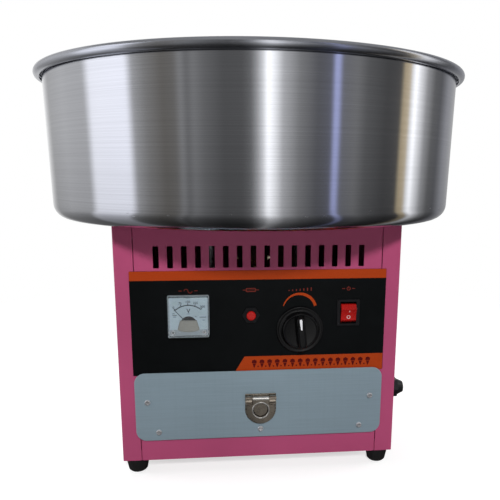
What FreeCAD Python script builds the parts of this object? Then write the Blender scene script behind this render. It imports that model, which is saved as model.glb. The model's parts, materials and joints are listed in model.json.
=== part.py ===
import FreeCAD
import Part
import math
import os

# Counter-top cotton candy machine: a sheet steel cabinet with a drawer, a spun
# steel bowl that lifts off, and a motor-driven spinner head.
# Millimetres, +Z up, front towards -Y, origin on the surface under the middle.

os.makedirs("parts", exist_ok=True)
V = FreeCAD.Vector

# ---- driving dimensions -------------------------------------------------
cabinet_width = 320.0
cabinet_depth = 290.0
cabinet_height = 274.0
foot_height = 18.0
sheet = 1.2                     # cabinet steel
fold_radius = 2.0               # outside radius of a folded edge
flange_width = 21.0             # side panel's return onto the front and rear
seam = 0.3                      # gap between neighbouring panels
tray_flange = 12.0              # fold of the base tray and the top plate

bowl_rim_radius = 260.0         # over the rolled rim
bowl_bead = 5.0                 # radius of the rolled rim's section
bowl_wall_top = 251.0           # outside of the wall under the rim
bowl_wall_bottom = 248.0        # outside of the wall at the floor
bowl_corner = 17.0
bowl_sheet = 1.0
bowl_depth = 163.6              # floor underside to the rim's centre
bowl_hole = 100.0               # radius of the hole that passes over the head
bowl_neck = 14.0
gasket_thickness = 2.0

slot_count = 16
slot_width = 6.4
slot_height = 24.5
slot_pitch = 15.24
slot_drop = 22.6                # cabinet top down to the slots' upper ends

overlay_drop = 50.0             # cabinet top down to the overlay's top edge
overlay_lap = 5.0               # onto each side panel's flange
overlay_tuck = 3.3              # behind the drawer's front plate
overlay_thickness = 0.4

drawer_front_lap = 19.6         # plate past the tray at each side
drawer_front_height = 81.5
drawer_front_low = 25.8         # cabinet underside up to the plate's lower edge
drawer_front_corner = 12.0
drawer_front_thickness = 1.5
drawer_width = 247.0
drawer_height = 52.0
drawer_depth = 225.0
drawer_low = 42.0               # cabinet underside up to the tray's floor
drawer_sheet = 1.0
drawer_gap = 2.0                # tray to the edge of the opening
runner_gap = 0.3

spinner_radius = 88.0
spinner_low = 14.0              # cabinet top up to the head's underside
band_height = 26.0
well_radius = 43.0              # mouth the sugar is poured into
shaft_radius = 6.0
motor_radius = 58.0
motor_height = 76.0
motor_drop = 82.8               # cabinet top down to the motor's upper face
press_gap = 0.02                # radial, between a shaft and what is fixed on it
run_gap = 0.06                  # radial, between a shaft and what it turns in

meter_x = -80.3
meter_drop = 50.5               # overlay's top edge down to the meter's centre
meter_width = 45.0
meter_height = 46.0
breaker_x = -10.7
breaker_drop = 51.2
knob_x = 45.0
knob_drop = 69.0
knob_tilt = -6.0                # degrees, how the pointer stands at rest
switch_x = 100.7
switch_drop = 50.5
switch_throw = 12.0             # degrees each side of level
gland_in = 57.0                 # cabinet front back to the gland
gland_up = 59.0                 # cabinet underside up to the gland
foot_inset = 15.0
seat_gap = 0.3                  # pieces that sit beside each other

# ---- planes worked out from them ----------------------------------------
half_width = cabinet_width / 2
half_depth = cabinet_depth / 2
floor_z = foot_height
top_z = foot_height + cabinet_height
front_y = -half_depth
overlay_y = front_y - overlay_thickness
panel_half = half_width - flange_width - seam
bowl_z = top_z + gasket_thickness
rim_z = bowl_z + bowl_depth
overlay_high = top_z - overlay_drop
plate_low = floor_z + drawer_front_low
plate_high = plate_low + drawer_front_height
overlay_low = plate_high - overlay_tuck
meter_z = overlay_high - meter_drop
breaker_z = overlay_high - breaker_drop
knob_z = overlay_high - knob_drop
switch_z = overlay_high - switch_drop
gland_y = front_y + gland_in
gland_z = floor_z + gland_up


# ---- shape helpers --------------------------------------------------------
def block(x0, x1, y0, y1, z0, z1):
    return Part.makeBox(x1 - x0, y1 - y0, z1 - z0, V(x0, y0, z0))


def rod(radius, start, axis, length):
    return Part.makeCylinder(radius, length, V(*start), V(*axis))


def tube(outer, inner, start, axis, length):
    return rod(outer, start, axis, length).cut(rod(inner, start, axis, length))


def cone(radius0, radius1, start, axis, length):
    return Part.makeCone(radius0, radius1, length, V(*start), V(*axis))


def hexagon(across, start, axis, length):
    """Hexagonal prism on X, Y or Z, flats at the given distance."""
    size = across / math.sqrt(3)
    points = []
    for k in range(7):
        angle = math.radians(60 * k)
        u = size * math.cos(angle)
        w = size * math.sin(angle)
        if axis[0]:
            points.append(V(start[0], start[1] + u, start[2] + w))
        elif axis[1]:
            points.append(V(start[0] + u, start[1], start[2] + w))
        else:
            points.append(V(start[0] + u, start[1] + w, start[2]))
    return Part.Face(Part.makePolygon(points)).extrude(V(*axis) * length)


def outline(corners, place):
    """Closed wire through (u, v, radius) corners, each rounded by a tangent arc."""
    count = len(corners)
    arcs = []
    for k in range(count):
        u, v, radius = corners[k]
        here = FreeCAD.Vector(u, v, 0)
        back = FreeCAD.Vector(corners[k - 1][0], corners[k - 1][1], 0) - here
        ahead = FreeCAD.Vector(corners[(k + 1) % count][0], corners[(k + 1) % count][1], 0) - here
        back.normalize()
        ahead.normalize()
        if radius == 0:
            arcs.append((here, None, here))
            continue
        half = back.getAngle(ahead) / 2
        reach = radius / math.tan(half)
        middle = back + ahead
        middle.normalize()
        bulge = radius / math.sin(half) - radius
        arcs.append((here + back * reach, here + middle * bulge, here + ahead * reach))
    edges = []
    for k in range(count):
        start, middle, end = arcs[k]
        if middle is not None:
            edges.append(Part.Arc(place(start), place(middle), place(end)).toShape())
        following = arcs[(k + 1) % count][0]
        if end.distanceToPoint(following) > 1e-6:
            edges.append(Part.LineSegment(place(end), place(following)).toShape())
    return Part.Wire(edges)


def spun(corners):
    """Solid of revolution about Z from (radius, height, corner radius) corners."""
    wire = outline(corners, lambda p: V(p.x, 0, p.y))
    return Part.Face(wire).revolve(V(0, 0, 0), V(0, 0, 1), 360)


def plate(corners, y0, y1):
    """Plate that faces the front, from (x, z, corner radius) corners."""
    wire = outline(corners, lambda p: V(p.x, y0, p.y))
    return Part.Face(wire).extrude(V(0, y1 - y0, 0))


def folded(corners, z0, z1):
    """Upright sheet from (x, y, corner radius) corners."""
    wire = outline(corners, lambda p: V(p.x, p.y, z0))
    return Part.Face(wire).extrude(V(0, 0, z1 - z0))


def rectangle(x, z, width, height, radius):
    w = width / 2
    h = height / 2
    return [(x - w, z - h, radius), (x + w, z - h, radius), (x + w, z + h, radius), (x - w, z + h, radius)]


def group(solids):
    return Part.makeCompound(solids)


def save(name, shape):
    kind = "ok" if shape.isValid() else "INVALID"
    print(f"{name:24s} solids {len(shape.Solids)} {kind}")
    shape.exportStep("parts/" + name + ".step")


def pan_screw(head_radius, head_height, shank_radius, length, seat, axis):
    """Pan-head screw with a cross recess; its head stands off the seat, against the axis."""
    direction = V(*axis)
    back = V(seat[0], seat[1], seat[2]) - direction * head_height
    head = Part.makeCylinder(head_radius, head_height, back, direction)
    rim = [e for e in head.Edges if abs((e.CenterOfMass - back).dot(direction)) < 1e-6]
    head = head.makeFillet(head_height * 0.6, rim)
    shank = Part.makeCylinder(shank_radius, length, V(*seat), direction)
    screw = head.fuse(shank)
    slot = head_radius * 0.24
    arm = head_radius * 0.62
    deep = head_height * 0.55
    for wide, tall in ((arm, slot), (slot, arm)):
        if axis[1]:
            cut = block(seat[0] - wide, seat[0] + wide, -1, deep, seat[2] - tall, seat[2] + tall)
            cut.translate(V(0, back.y if axis[1] > 0 else back.y - deep + 1, 0))
        elif axis[0]:
            cut = block(-1, deep, seat[1] - wide, seat[1] + wide, seat[2] - tall, seat[2] + tall)
            cut.translate(V(back.x if axis[0] > 0 else back.x - deep + 1, 0, 0))
        else:
            cut = block(seat[0] - wide, seat[0] + wide, seat[1] - tall, seat[1] + tall, -1, deep)
            cut.translate(V(0, 0, back.z if axis[2] > 0 else back.z - deep + 1))
        screw = screw.cut(cut)
    return screw


# ---- cabinet ---------------------------------------------------------------
screw_radius = 2.0              # M4 cabinet screws
screw_long = 6.0
m4_head = 3.6
m4_head_height = 2.2
screw_clear = 0.15
side_screw_y = 100.0
side_screw_in = 6.5             # panel edge to a screw row
rear_screw_x = 100.0


def screw_seats():
    """Seat point and inward axis of each cabinet screw."""
    low = floor_z + side_screw_in
    high = top_z - side_screw_in
    seats = []
    for z in (low, high):
        for y in (-side_screw_y, 0.0, side_screw_y):
            seats.append(((-half_width, y, z), (1, 0, 0)))
            seats.append(((half_width, y, z), (-1, 0, 0)))
        for x in (-rear_screw_x, 0.0, rear_screw_x):
            seats.append(((x, half_depth, z), (0, -1, 0)))
    return seats


def drill_screws(shape):
    for seat, axis in screw_seats():
        start = [seat[k] - 2 * axis[k] for k in range(3)]
        shape = shape.cut(rod(screw_radius + screw_clear, start, axis, 8))
    return shape


def side_panel(side):
    out = side * half_width
    inner = side * (half_width - sheet)
    edge = side * (half_width - flange_width)
    inside = fold_radius - sheet
    corners = [
        (edge, -half_depth, 0), (out, -half_depth, fold_radius), (out, half_depth, fold_radius),
        (edge, half_depth, 0), (edge, half_depth - sheet, 0), (inner, half_depth - sheet, inside),
        (inner, -half_depth + sheet, inside), (edge, -half_depth + sheet, 0),
    ]
    return drill_screws(folded(corners, floor_z, top_z))


panel_return = 10.0             # fold at each side of the front and rear panels
return_trim = 15.0              # the folds stop short of the tray and the top plate


def face_panel(side):
    """Front (-1) or rear (+1) sheet with a fold down each side."""
    face = side * half_depth
    inner = side * (half_depth - sheet)
    deep = side * (half_depth - panel_return)
    edge = panel_half
    inside = fold_radius - sheet
    corners = [
        (-edge, face, fold_radius), (edge, face, fold_radius), (edge, deep, 0), (edge - sheet, deep, 0),
        (edge - sheet, inner, inside), (-edge + sheet, inner, inside), (-edge + sheet, deep, 0),
        (-edge, deep, 0),
    ]
    panel = folded(corners, floor_z, top_z)
    for z0, z1 in ((floor_z - 1, floor_z + return_trim), (top_z - return_trim, top_z + 1)):
        y0, y1 = sorted((inner, deep - side))
        panel = panel.cut(block(-half_width, half_width, y0, y1, z0, z1))
    return panel


def slot_row(y0, y1, z_top):
    slots = []
    for k in range(slot_count):
        x = (k - (slot_count - 1) / 2) * slot_pitch
        slots.append(plate(rectangle(x, z_top - slot_height / 2, slot_width, slot_height, 1.0), y0, y1))
    return group(slots)


# holes the instruments need, shared by the front panel and the overlay
meter_barrel = 19.0
breaker_neck = 6.5
regulator_bush = 4.8
switch_body_width = 21.8
switch_body_height = 27.6
hole_gap = 0.4


def instrument_holes():
    y0 = front_y - 5
    deep = 10
    holes = [
        rod(meter_barrel + hole_gap, (meter_x, y0, meter_z), (0, 1, 0), deep),
        rod(breaker_neck + hole_gap, (breaker_x, y0, breaker_z), (0, 1, 0), deep),
        rod(regulator_bush + hole_gap, (knob_x, y0, knob_z), (0, 1, 0), deep),
        plate(rectangle(switch_x, switch_z, switch_body_width + 2 * hole_gap,
                        switch_body_height + 2 * hole_gap, 0.5), y0, y0 + deep),
    ]
    for x, z in meter_screw_places():
        holes.append(rod(meter_screw_radius + screw_clear, (x, y0, z), (0, 1, 0), deep))
    return group(holes)


meter_screw_radius = 1.4
meter_screw_x = 17.2
meter_screw_drop = 18.3


def meter_screw_places():
    z = meter_z - meter_screw_drop
    return [(meter_x - meter_screw_x, z), (meter_x + meter_screw_x, z)]


# drawer planes
tray_low = floor_z + drawer_low
tray_high = tray_low + drawer_height
tray_half = drawer_width / 2
tray_front = overlay_y - seat_gap          # back of the tray's front sheet
plate_back = tray_front - drawer_sheet
plate_front = plate_back - drawer_front_thickness
drawer_screw_radius = 1.75
screw_side_x = tray_half + 5.5             # in the ears of the tray's front sheet
screw_side_z = plate_high - 34.4
screw_low_x = tray_half - 6.2
screw_low_z = plate_low + 10.3


def drawer_screw_places():
    return [(-screw_side_x, screw_side_z), (screw_side_x, screw_side_z),
            (-screw_low_x, screw_low_z), (0.0, screw_low_z), (screw_low_x, screw_low_z)]


def front_panel():
    panel = face_panel(-1)
    panel = panel.cut(slot_row(front_y - 1, front_y + sheet + 1, top_z - slot_drop))
    panel = panel.cut(instrument_holes())
    opening = block(-tray_half - drawer_gap, tray_half + drawer_gap, front_y - 1, front_y + sheet + 1,
                    tray_low - drawer_gap, tray_high + drawer_gap)
    panel = panel.cut(opening)
    for x, z in drawer_screw_places():
        panel = panel.cut(rod(drawer_screw_radius + 1.5, (x, front_y - 1, z), (0, 1, 0), sheet + 2))
    return panel


def rear_panel():
    panel = face_panel(1)
    panel = panel.cut(slot_row(half_depth - sheet - 1, half_depth + 1, top_z - slot_drop))
    panel = panel.cut(slot_row(half_depth - sheet - 1, half_depth + 1, floor_z + 70))
    return drill_screws(panel)


lid_half_x = half_width - sheet - seam
lid_half_y = half_depth - sheet - seam
hanger_x = 56.0                 # motor hanger bolts, from the shaft
hanger_radius = 3.0


def hanger_places():
    return [(sx * hanger_x, sy * hanger_x) for sx in (-1, 1) for sy in (-1, 1)]


shaft_hole = 32.0               # hole in the top plate round the shaft


def top_plate():
    pan = block(-lid_half_x, lid_half_x, -lid_half_y, lid_half_y, top_z - tray_flange, top_z)
    pan = pan.cut(block(-lid_half_x + sheet, lid_half_x - sheet, -lid_half_y + sheet, lid_half_y - sheet,
                        top_z - tray_flange - 1, top_z - sheet))
    pan = pan.cut(rod(shaft_hole, (0, 0, top_z - 5), (0, 0, 1), 10))
    for x, y in hanger_places():
        pan = pan.cut(rod(hanger_radius + screw_clear, (x, y, top_z - 5), (0, 0, 1), 10))
    return drill_screws(pan)


foot_screw_radius = 2.5


def foot_places():
    x = half_width - foot_inset
    y = half_depth - foot_inset
    return [(-x, -y), (x, -y), (-x, y), (x, y)]


def base_tray():
    pan = block(-lid_half_x, lid_half_x, -lid_half_y, lid_half_y, floor_z, floor_z + tray_flange)
    pan = pan.cut(block(-lid_half_x + sheet, lid_half_x - sheet, -lid_half_y + sheet, lid_half_y - sheet,
                        floor_z + sheet, floor_z + tray_flange + 1))
    for k in range(7):
        x = (k - 3) * 22.0
        pan = pan.cut(block(x - 3, x + 3, 10, 90, floor_z - 1, floor_z + sheet + 1))
    for x, y in foot_places():
        pan = pan.cut(rod(foot_screw_radius + screw_clear, (x, y, floor_z - 1), (0, 0, 1), sheet + 2))
    return drill_screws(pan)


gland_thread = 9.3
right_panel = side_panel(1).cut(rod(gland_thread + 0.3, (half_width - 5, gland_y, gland_z), (1, 0, 0), 10))
save("left_side_panel", side_panel(-1))
save("right_side_panel", right_panel)
save("front_panel", front_panel())
save("rear_panel", rear_panel())
save("top_plate", top_plate())
save("base_tray", base_tray())
cabinet_screws = [pan_screw(m4_head, m4_head_height, screw_radius, screw_long, seat, axis)
                  for seat, axis in screw_seats()]
save("cabinet_screws", group(cabinet_screws))

# feet: rubber cones, each held by a screw from below
foot_top = 14.0
foot_bottom = 11.0
foot_nose = 8.6
foot_nose_high = 2.6
foot_recess = 5.5
foot_recess_deep = 9.0


def foot(x, y):
    body = cone(foot_nose, foot_bottom, (x, y, 0), (0, 0, 1), foot_nose_high)
    body = body.fuse(cone(foot_bottom, foot_top, (x, y, foot_nose_high), (0, 0, 1), foot_height - foot_nose_high))
    body = body.cut(rod(foot_recess, (x, y, -1), (0, 0, 1), foot_recess_deep + 1))
    return body.cut(rod(foot_screw_radius + screw_clear, (x, y, 0), (0, 0, 1), foot_height + 1))


foot_screws = [pan_screw(4.6, 2.6, foot_screw_radius, 16.0, (x, y, foot_recess_deep), (0, 0, 1))
               for x, y in foot_places()]
save("rubber_feet", group([foot(x, y) for x, y in foot_places()]))
save("foot_screws", group(foot_screws))

overlay_half = half_width - flange_width + overlay_lap
overlay_corner = 0.8
overlay_middle = (overlay_low + overlay_high) / 2
overlay = plate(rectangle(0, overlay_middle, 2 * overlay_half, overlay_high - overlay_low, overlay_corner),
                overlay_y, front_y)
save("control_overlay", overlay.cut(instrument_holes()))


# ---- voltmeter -------------------------------------------------------------
meter_frame = 3.0
meter_window_deep = 7.5
meter_wall = 1.3
meter_front_wall = 1.8
meter_screw_well = 2.6
meter_corner = 1.5
meter_bevel = 1.2
meter_scale_thick = 0.5
needle_drop = 9.2               # pivot below the meter's centre
needle_reach = 23.4
needle_start = -42.0            # degrees from upright, at zero
arbor_radius = 0.9
arbor_long = 11.0
meter_barrel_long = 27.0
meter_pivot_z = meter_z - needle_drop
frame_front = overlay_y - meter_frame
scale_front = frame_front - meter_scale_thick
window_front = frame_front - meter_window_deep
needle_y = scale_front - 1.5
boss_y = needle_y - 1.2

frame_corners = rectangle(meter_x, meter_z, meter_width, meter_height, meter_corner)
meter_body = plate(frame_corners, frame_front, overlay_y)
meter_body = meter_body.fuse(rod(meter_barrel, (meter_x, overlay_y, meter_z), (0, 1, 0), meter_barrel_long))
arbor_bore = rod(arbor_radius + run_gap, (meter_x, frame_front - 1, meter_pivot_z), (0, 1, 0), arbor_long + 1)
meter_body = meter_body.cut(arbor_bore)
for x, z in meter_screw_places():
    meter_body = meter_body.cut(rod(meter_screw_radius + 0.1, (x, frame_front - 1, z), (0, 1, 0), 40))
save("voltmeter_housing", meter_body)

scale_plate = plate(rectangle(meter_x, meter_z + 3.0, meter_width - 2 * meter_wall - 0.8,
                              meter_height - 2 * meter_wall - 6.8, 0.5), scale_front, frame_front)
scale_plate = scale_plate.cut(rod(9.3, (meter_x, scale_front - 1, meter_pivot_z), (0, 1, 0), 3))
for x, z in meter_screw_places():
    scale_plate = scale_plate.cut(rod(3.0, (x, scale_front - 1, z), (0, 1, 0), 3))
save("voltmeter_scale", scale_plate)

window = plate(frame_corners, window_front, frame_front)
front_edges = [e for e in window.Edges if abs(e.CenterOfMass.y - window_front) < 1e-6]
window = window.makeChamfer(meter_bevel, front_edges)
hollow = rectangle(meter_x, meter_z, meter_width - 2 * meter_wall, meter_height - 2 * meter_wall, 1.0)
window = window.cut(plate(hollow, window_front + meter_front_wall, frame_front + 1))
for x, z in meter_screw_places():
    window = window.cut(rod(meter_screw_well, (x, window_front - 1, z), (0, 1, 0), 5))
save("voltmeter_window", window)

cover_radius = 10.0
cover_thick = 2.2
cover_flat = 5.2                # the cover's flat top edge, above the pivot
stem_half = 4.0
stem_thick = 1.6
stem_low = meter_pivot_z - 9.0
boss = rod(cover_radius, (meter_x, boss_y - cover_thick, meter_pivot_z), (0, 1, 0), cover_thick)
boss = boss.cut(block(meter_x - 2 * cover_radius, meter_x + 2 * cover_radius, boss_y - 4, boss_y + 4,
                      meter_pivot_z + cover_flat, meter_pivot_z + 2 * cover_radius))
boss = boss.fuse(block(meter_x - stem_half, meter_x + stem_half, boss_y - cover_thick, frame_front,
                       stem_low, stem_low + stem_thick))
save("voltmeter_coil_cover", boss)

needle = block(meter_x - 0.35, meter_x + 0.35, needle_y - 0.25, needle_y + 0.25,
               meter_pivot_z - 6.0, meter_pivot_z + needle_reach)
needle = needle.fuse(rod(2.2, (meter_x, needle_y - 0.5, meter_pivot_z), (0, 1, 0), 1.0))
needle = needle.fuse(block(meter_x - 1.6, meter_x + 1.6, needle_y - 0.4, needle_y + 0.4,
                           meter_pivot_z - 7.0, meter_pivot_z - 4.0))
needle = needle.fuse(rod(arbor_radius, (meter_x, needle_y, meter_pivot_z), (0, 1, 0), arbor_long))
needle.rotate(V(meter_x, needle_y, meter_pivot_z), V(0, 1, 0), needle_start)
save("voltmeter_needle", needle)
save("voltmeter_screws", group([pan_screw(2.2, 1.2, meter_screw_radius, 7.0, (x, frame_front, z), (0, 1, 0))
                                for x, z in meter_screw_places()]))

# ---- circuit breaker ---------------------------------------------------------
button_radius = 5.3
button_proud = 4.2
button_deep = 14.0
breaker_nut_across = 17.0
breaker_nut_thick = 2.6
breaker_half = 8.0
breaker_tall = 17.0
breaker_deep = 30.0
panel_back = front_y + sheet
breaker_front = overlay_y - 4.0
body = block(breaker_x - breaker_half, breaker_x + breaker_half, panel_back, panel_back + breaker_deep,
             breaker_z - breaker_tall, breaker_z + breaker_tall)
neck = rod(breaker_neck, (breaker_x, breaker_front, breaker_z), (0, 1, 0), panel_back - breaker_front)
well = rod(button_radius + run_gap, (breaker_x, breaker_front - 1, breaker_z), (0, 1, 0), button_deep + 5)
save("breaker_body", body.fuse(neck).cut(well))
nut = hexagon(breaker_nut_across, (breaker_x, overlay_y - breaker_nut_thick, breaker_z), (0, 1, 0),
              breaker_nut_thick)
nut_bore = rod(breaker_neck + press_gap, (breaker_x, breaker_front, breaker_z), (0, 1, 0), 8)
save("breaker_nut", nut.cut(nut_bore))
button = rod(button_radius, (breaker_x, breaker_front - button_proud + 2, breaker_z), (0, 1, 0), button_deep)
button_rim = [e for e in button.Edges if abs(e.CenterOfMass.y - (breaker_front - button_proud + 2)) < 1e-6]
save("breaker_button", button.makeFillet(1.6, button_rim))

# ---- heat control: regulator behind the panel, shaft and skirted knob ----------
regulator_size = 42.0
regulator_deep = 22.0
regulator_shaft = 3.0
knob_skirt = 27.0
knob_drum = 21.0
knob_back = overlay_y - 0.8
skirt_front = knob_back - 3.0
drum_front = knob_back - 9.5
grip_front = knob_back - 20.0
grip_half = 18.6
grip_width = 11.0
shaft_cover = 5.0               # grip in front of the shaft's end
shaft_long = 26.0
bush_front = overlay_y - 3.4
half = regulator_size / 2
body = block(knob_x - half, knob_x + half, panel_back, panel_back + regulator_deep,
             knob_z - half, knob_z + half)
body = body.fuse(rod(regulator_bush, (knob_x, bush_front, knob_z), (0, 1, 0), panel_back - bush_front))
body = body.cut(rod(regulator_shaft + run_gap, (knob_x, overlay_y - 5, knob_z), (0, 1, 0), 20))
save("heat_regulator", body)
save("heat_regulator_shaft", rod(regulator_shaft, (knob_x, grip_front + shaft_cover, knob_z), (0, 1, 0),
                                 shaft_long))

knob = cone(knob_skirt - 1.2, knob_skirt, (knob_x, skirt_front, knob_z), (0, 1, 0), knob_back - skirt_front)
drum = cone(knob_drum - 1.0, knob_drum, (knob_x, drum_front, knob_z), (0, 1, 0), skirt_front - drum_front)
knob = knob.fuse(drum)
grip = rectangle(knob_x, knob_z, grip_width, 2 * grip_half, grip_width / 2 - 0.1)
grip = plate(grip, grip_front, drum_front + 1)
grip_rim = [e for e in grip.Edges if abs(e.CenterOfMass.y - grip_front) < 1e-6]
knob = knob.fuse(grip.makeFillet(1.2, grip_rim))
knob = knob.cut(rod(10.0, (knob_x, knob_back - 3.8, knob_z), (0, 1, 0), 6))
knob = knob.cut(rod(regulator_shaft + press_gap, (knob_x, grip_front + 4.9, knob_z), (0, 1, 0), 20))
knob.rotate(V(knob_x, 0, knob_z), V(0, 1, 0), knob_tilt)
save("temperature_knob", knob)
pointer = plate(rectangle(knob_x, knob_z + 10.2, 1.9, 12.4, 0.9), grip_front - 0.3, grip_front)
pointer.rotate(V(knob_x, 0, knob_z), V(0, 1, 0), knob_tilt)
save("knob_pointer", pointer)

# ---- rocker switch -------------------------------------------------------------
bezel_width = 26.5
bezel_height = 31.0
bezel_thick = 2.0
switch_deep = 22.0
rocker_width = 17.8
rocker_height = 22.6
recess_width = 18.6
recess_height = 25.8
recess_deep = 12.0
pivot_y = overlay_y + 2.4
pivot_radius = 1.4
bezel_front = overlay_y - bezel_thick
housing = plate(rectangle(switch_x, switch_z, bezel_width, bezel_height, 1.2), bezel_front, overlay_y)
bezel_rim = [e for e in housing.Edges if abs(e.CenterOfMass.y - bezel_front) < 1e-6]
housing = housing.makeFillet(0.8, bezel_rim)
housing = housing.fuse(plate(rectangle(switch_x, switch_z, switch_body_width, switch_body_height, 0.5),
                             overlay_y, overlay_y + switch_deep))
housing = housing.cut(plate(rectangle(switch_x, switch_z, recess_width, recess_height, 0.6),
                            bezel_front - 1, bezel_front + recess_deep))
housing = housing.cut(rod(pivot_radius + run_gap, (switch_x - rocker_width / 2 - 1.2, pivot_y, switch_z),
                          (1, 0, 0), rocker_width + 2.4))
for sx in (-1, 1):
    for sz in (-1, 1):
        x = switch_x + sx * 5.5
        z = switch_z + sz * 7.5
        housing = housing.fuse(block(x - 0.4, x + 0.4, overlay_y + switch_deep, overlay_y + switch_deep + 8,
                                     z - 3.1, z + 3.1))
save("switch_housing", housing)

tall = rocker_height / 2
wire = Part.makePolygon([
    V(switch_x - rocker_width / 2, y, switch_z + z) for y, z in (
        (bezel_front - 2.2, -tall), (bezel_front - 0.6, 0), (bezel_front - 2.2, tall), (pivot_y + 1.0, tall),
        (pivot_y + 3.0, 4.0), (pivot_y + 3.0, -4.0), (pivot_y + 1.0, -tall), (bezel_front - 2.2, -tall))])
rocker = Part.Face(wire).extrude(V(rocker_width, 0, 0))
rocker = rocker.fuse(rod(pivot_radius, (switch_x - rocker_width / 2 - 1.0, pivot_y, switch_z), (1, 0, 0),
                         rocker_width + 2.0))
rocker.rotate(V(switch_x, pivot_y, switch_z), V(1, 0, 0), switch_throw)
save("switch_rocker", rocker)

# ---- cable gland -----------------------------------------------------------------
gland_bore = 4.5
seal_bore = 4.0
gland_flange = 6.0
gland_nut_long = 14.0
gland_nose = 8.0
gland_across = 22.0
x0 = half_width
nut_x = x0 + gland_flange
nose_x = nut_x + gland_nut_long
body = hexagon(gland_across, (x0, gland_y, gland_z), (1, 0, 0), gland_flange)
body = body.fuse(rod(gland_thread, (x0 - 12, gland_y, gland_z), (1, 0, 0), 12 + gland_flange + 8))
body = body.cut(rod(gland_bore, (x0 - 13, gland_y, gland_z), (1, 0, 0), 50))
body = body.cut(rod(6.6, (nut_x, gland_y, gland_z), (1, 0, 0), 20))
save("gland_body", body)
dome = hexagon(gland_across, (nut_x, gland_y, gland_z), (1, 0, 0), gland_nut_long)
dome = dome.fuse(cone(10.6, 7.0, (nose_x, gland_y, gland_z), (1, 0, 0), gland_nose))
dome = dome.cut(rod(gland_thread + 0.05, (nut_x - 1, gland_y, gland_z), (1, 0, 0), 9.5))
dome = dome.cut(rod(6.6, (nut_x, gland_y, gland_z), (1, 0, 0), 16))
dome = dome.cut(rod(gland_bore, (nut_x, gland_y, gland_z), (1, 0, 0), 40))
save("gland_dome_nut", dome)
locknut = hexagon(24.0, (x0 - sheet - 5, gland_y, gland_z), (1, 0, 0), 5)
save("gland_locknut", locknut.cut(rod(gland_thread + 0.05, (x0 - 10, gland_y, gland_z), (1, 0, 0), 12)))
seal_length = 14.0
save("gland_seal", tube(6.5, seal_bore, (nut_x + 0.5, gland_y, gland_z), (1, 0, 0), seal_length))

# ---- drawer ------------------------------------------------------------------------
tray_back = tray_front + drawer_depth
tray = block(-tray_half, tray_half, tray_front, tray_back, tray_low, tray_high)
tray = tray.cut(block(-tray_half + drawer_sheet, tray_half - drawer_sheet, tray_front - 1,
                      tray_back - drawer_sheet, tray_low + drawer_sheet, tray_high + 1))
ear = 10.5                      # how far the front sheet passes the tray at each side
lap = 12.0                      # how far it hangs below the tray
ear_x = tray_half + ear
ear_corner = 3
front_sheet = plate([(-ear_x, tray_low - lap, ear_corner), (ear_x, tray_low - lap, ear_corner),
                     (ear_x, tray_high, ear_corner), (-ear_x, tray_high, ear_corner)], plate_back, tray_front)
tray = tray.fuse(front_sheet)
for x, z in drawer_screw_places():
    tray = tray.cut(rod(drawer_screw_radius + 0.1, (x, plate_back - 1, z), (0, 1, 0), drawer_sheet + 2))
save("drawer_tray", tray.removeSplitter())

middle_z = (plate_low + plate_high) / 2
face = plate(rectangle(0, middle_z, 2 * (tray_half + drawer_front_lap), drawer_front_height,
                       drawer_front_corner), plate_front, plate_back)
face_rim = [e for e in face.Edges if abs(e.CenterOfMass.y - plate_front) < 1e-6]
face = face.makeChamfer(0.35, face_rim)
for x, z in drawer_screw_places():
    hole = rod(drawer_screw_radius + 0.1, (x, plate_front - 1, z), (0, 1, 0), drawer_front_thickness + 2)
    face = face.cut(hole)
save("drawer_front", face)
drawer_screw_head = 3.4
drawer_screw_high = 2.1
drawer_screw_long = drawer_front_thickness + drawer_sheet + 1.8
drawer_screws = [pan_screw(drawer_screw_head, drawer_screw_high, drawer_screw_radius, drawer_screw_long,
                           (x, plate_front, z), (0, 1, 0)) for x, z in drawer_screw_places()]
save("drawer_screws", group(drawer_screws))

# ring pull: D-shaped back plate, two ears, pin, and a flap with a finger hole
pull_half = 18.2
pull_high = plate_high - 27.6
pull_low = plate_high - 64.8
pull_thick = 1.5
pull_y = plate_front - pull_thick
pin_radius = 1.6
pin_y = pull_y - 3.9
pin_z = pull_high - 4.2
barrel_radius = 2.9
barrel_half = 9.2
ear_half = 4.2
hole_z = pull_low + 18.2
hole_radius = 9.2
flap_back = pull_y - 0.6
flap_thick = 2.4
flap_front = flap_back - flap_thick


def d_shape(half, low, high, top_round, y0, y1):
    return plate([(-half, high, top_round), (-half, low, half - 0.05), (half, low, half - 0.05),
                  (half, high, top_round)], y0, y1)


back_plate = d_shape(pull_half, pull_low, pull_high, 1.5, pull_y, plate_front)
for side in (-1, 1):
    x0 = side * (barrel_half + 0.4) if side > 0 else -pull_half + 0.6
    x1 = pull_half - 0.6 if side > 0 else -barrel_half - 0.4
    ear_block = block(x0, x1, pin_y, pull_y, pin_z - ear_half, pin_z + ear_half)
    ear_block = ear_block.fuse(rod(ear_half, (x0, pin_y, pin_z), (1, 0, 0), x1 - x0))
    back_plate = back_plate.fuse(ear_block)
pin_bore = rod(pin_radius + press_gap, (-pull_half - 1, pin_y, pin_z), (1, 0, 0), 2 * pull_half + 2)
back_plate = back_plate.cut(pin_bore)
save("handle_plate", back_plate)
save("handle_pin", rod(pin_radius, (-pull_half + 0.2, pin_y, pin_z), (1, 0, 0), 2 * pull_half - 0.4))

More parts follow.
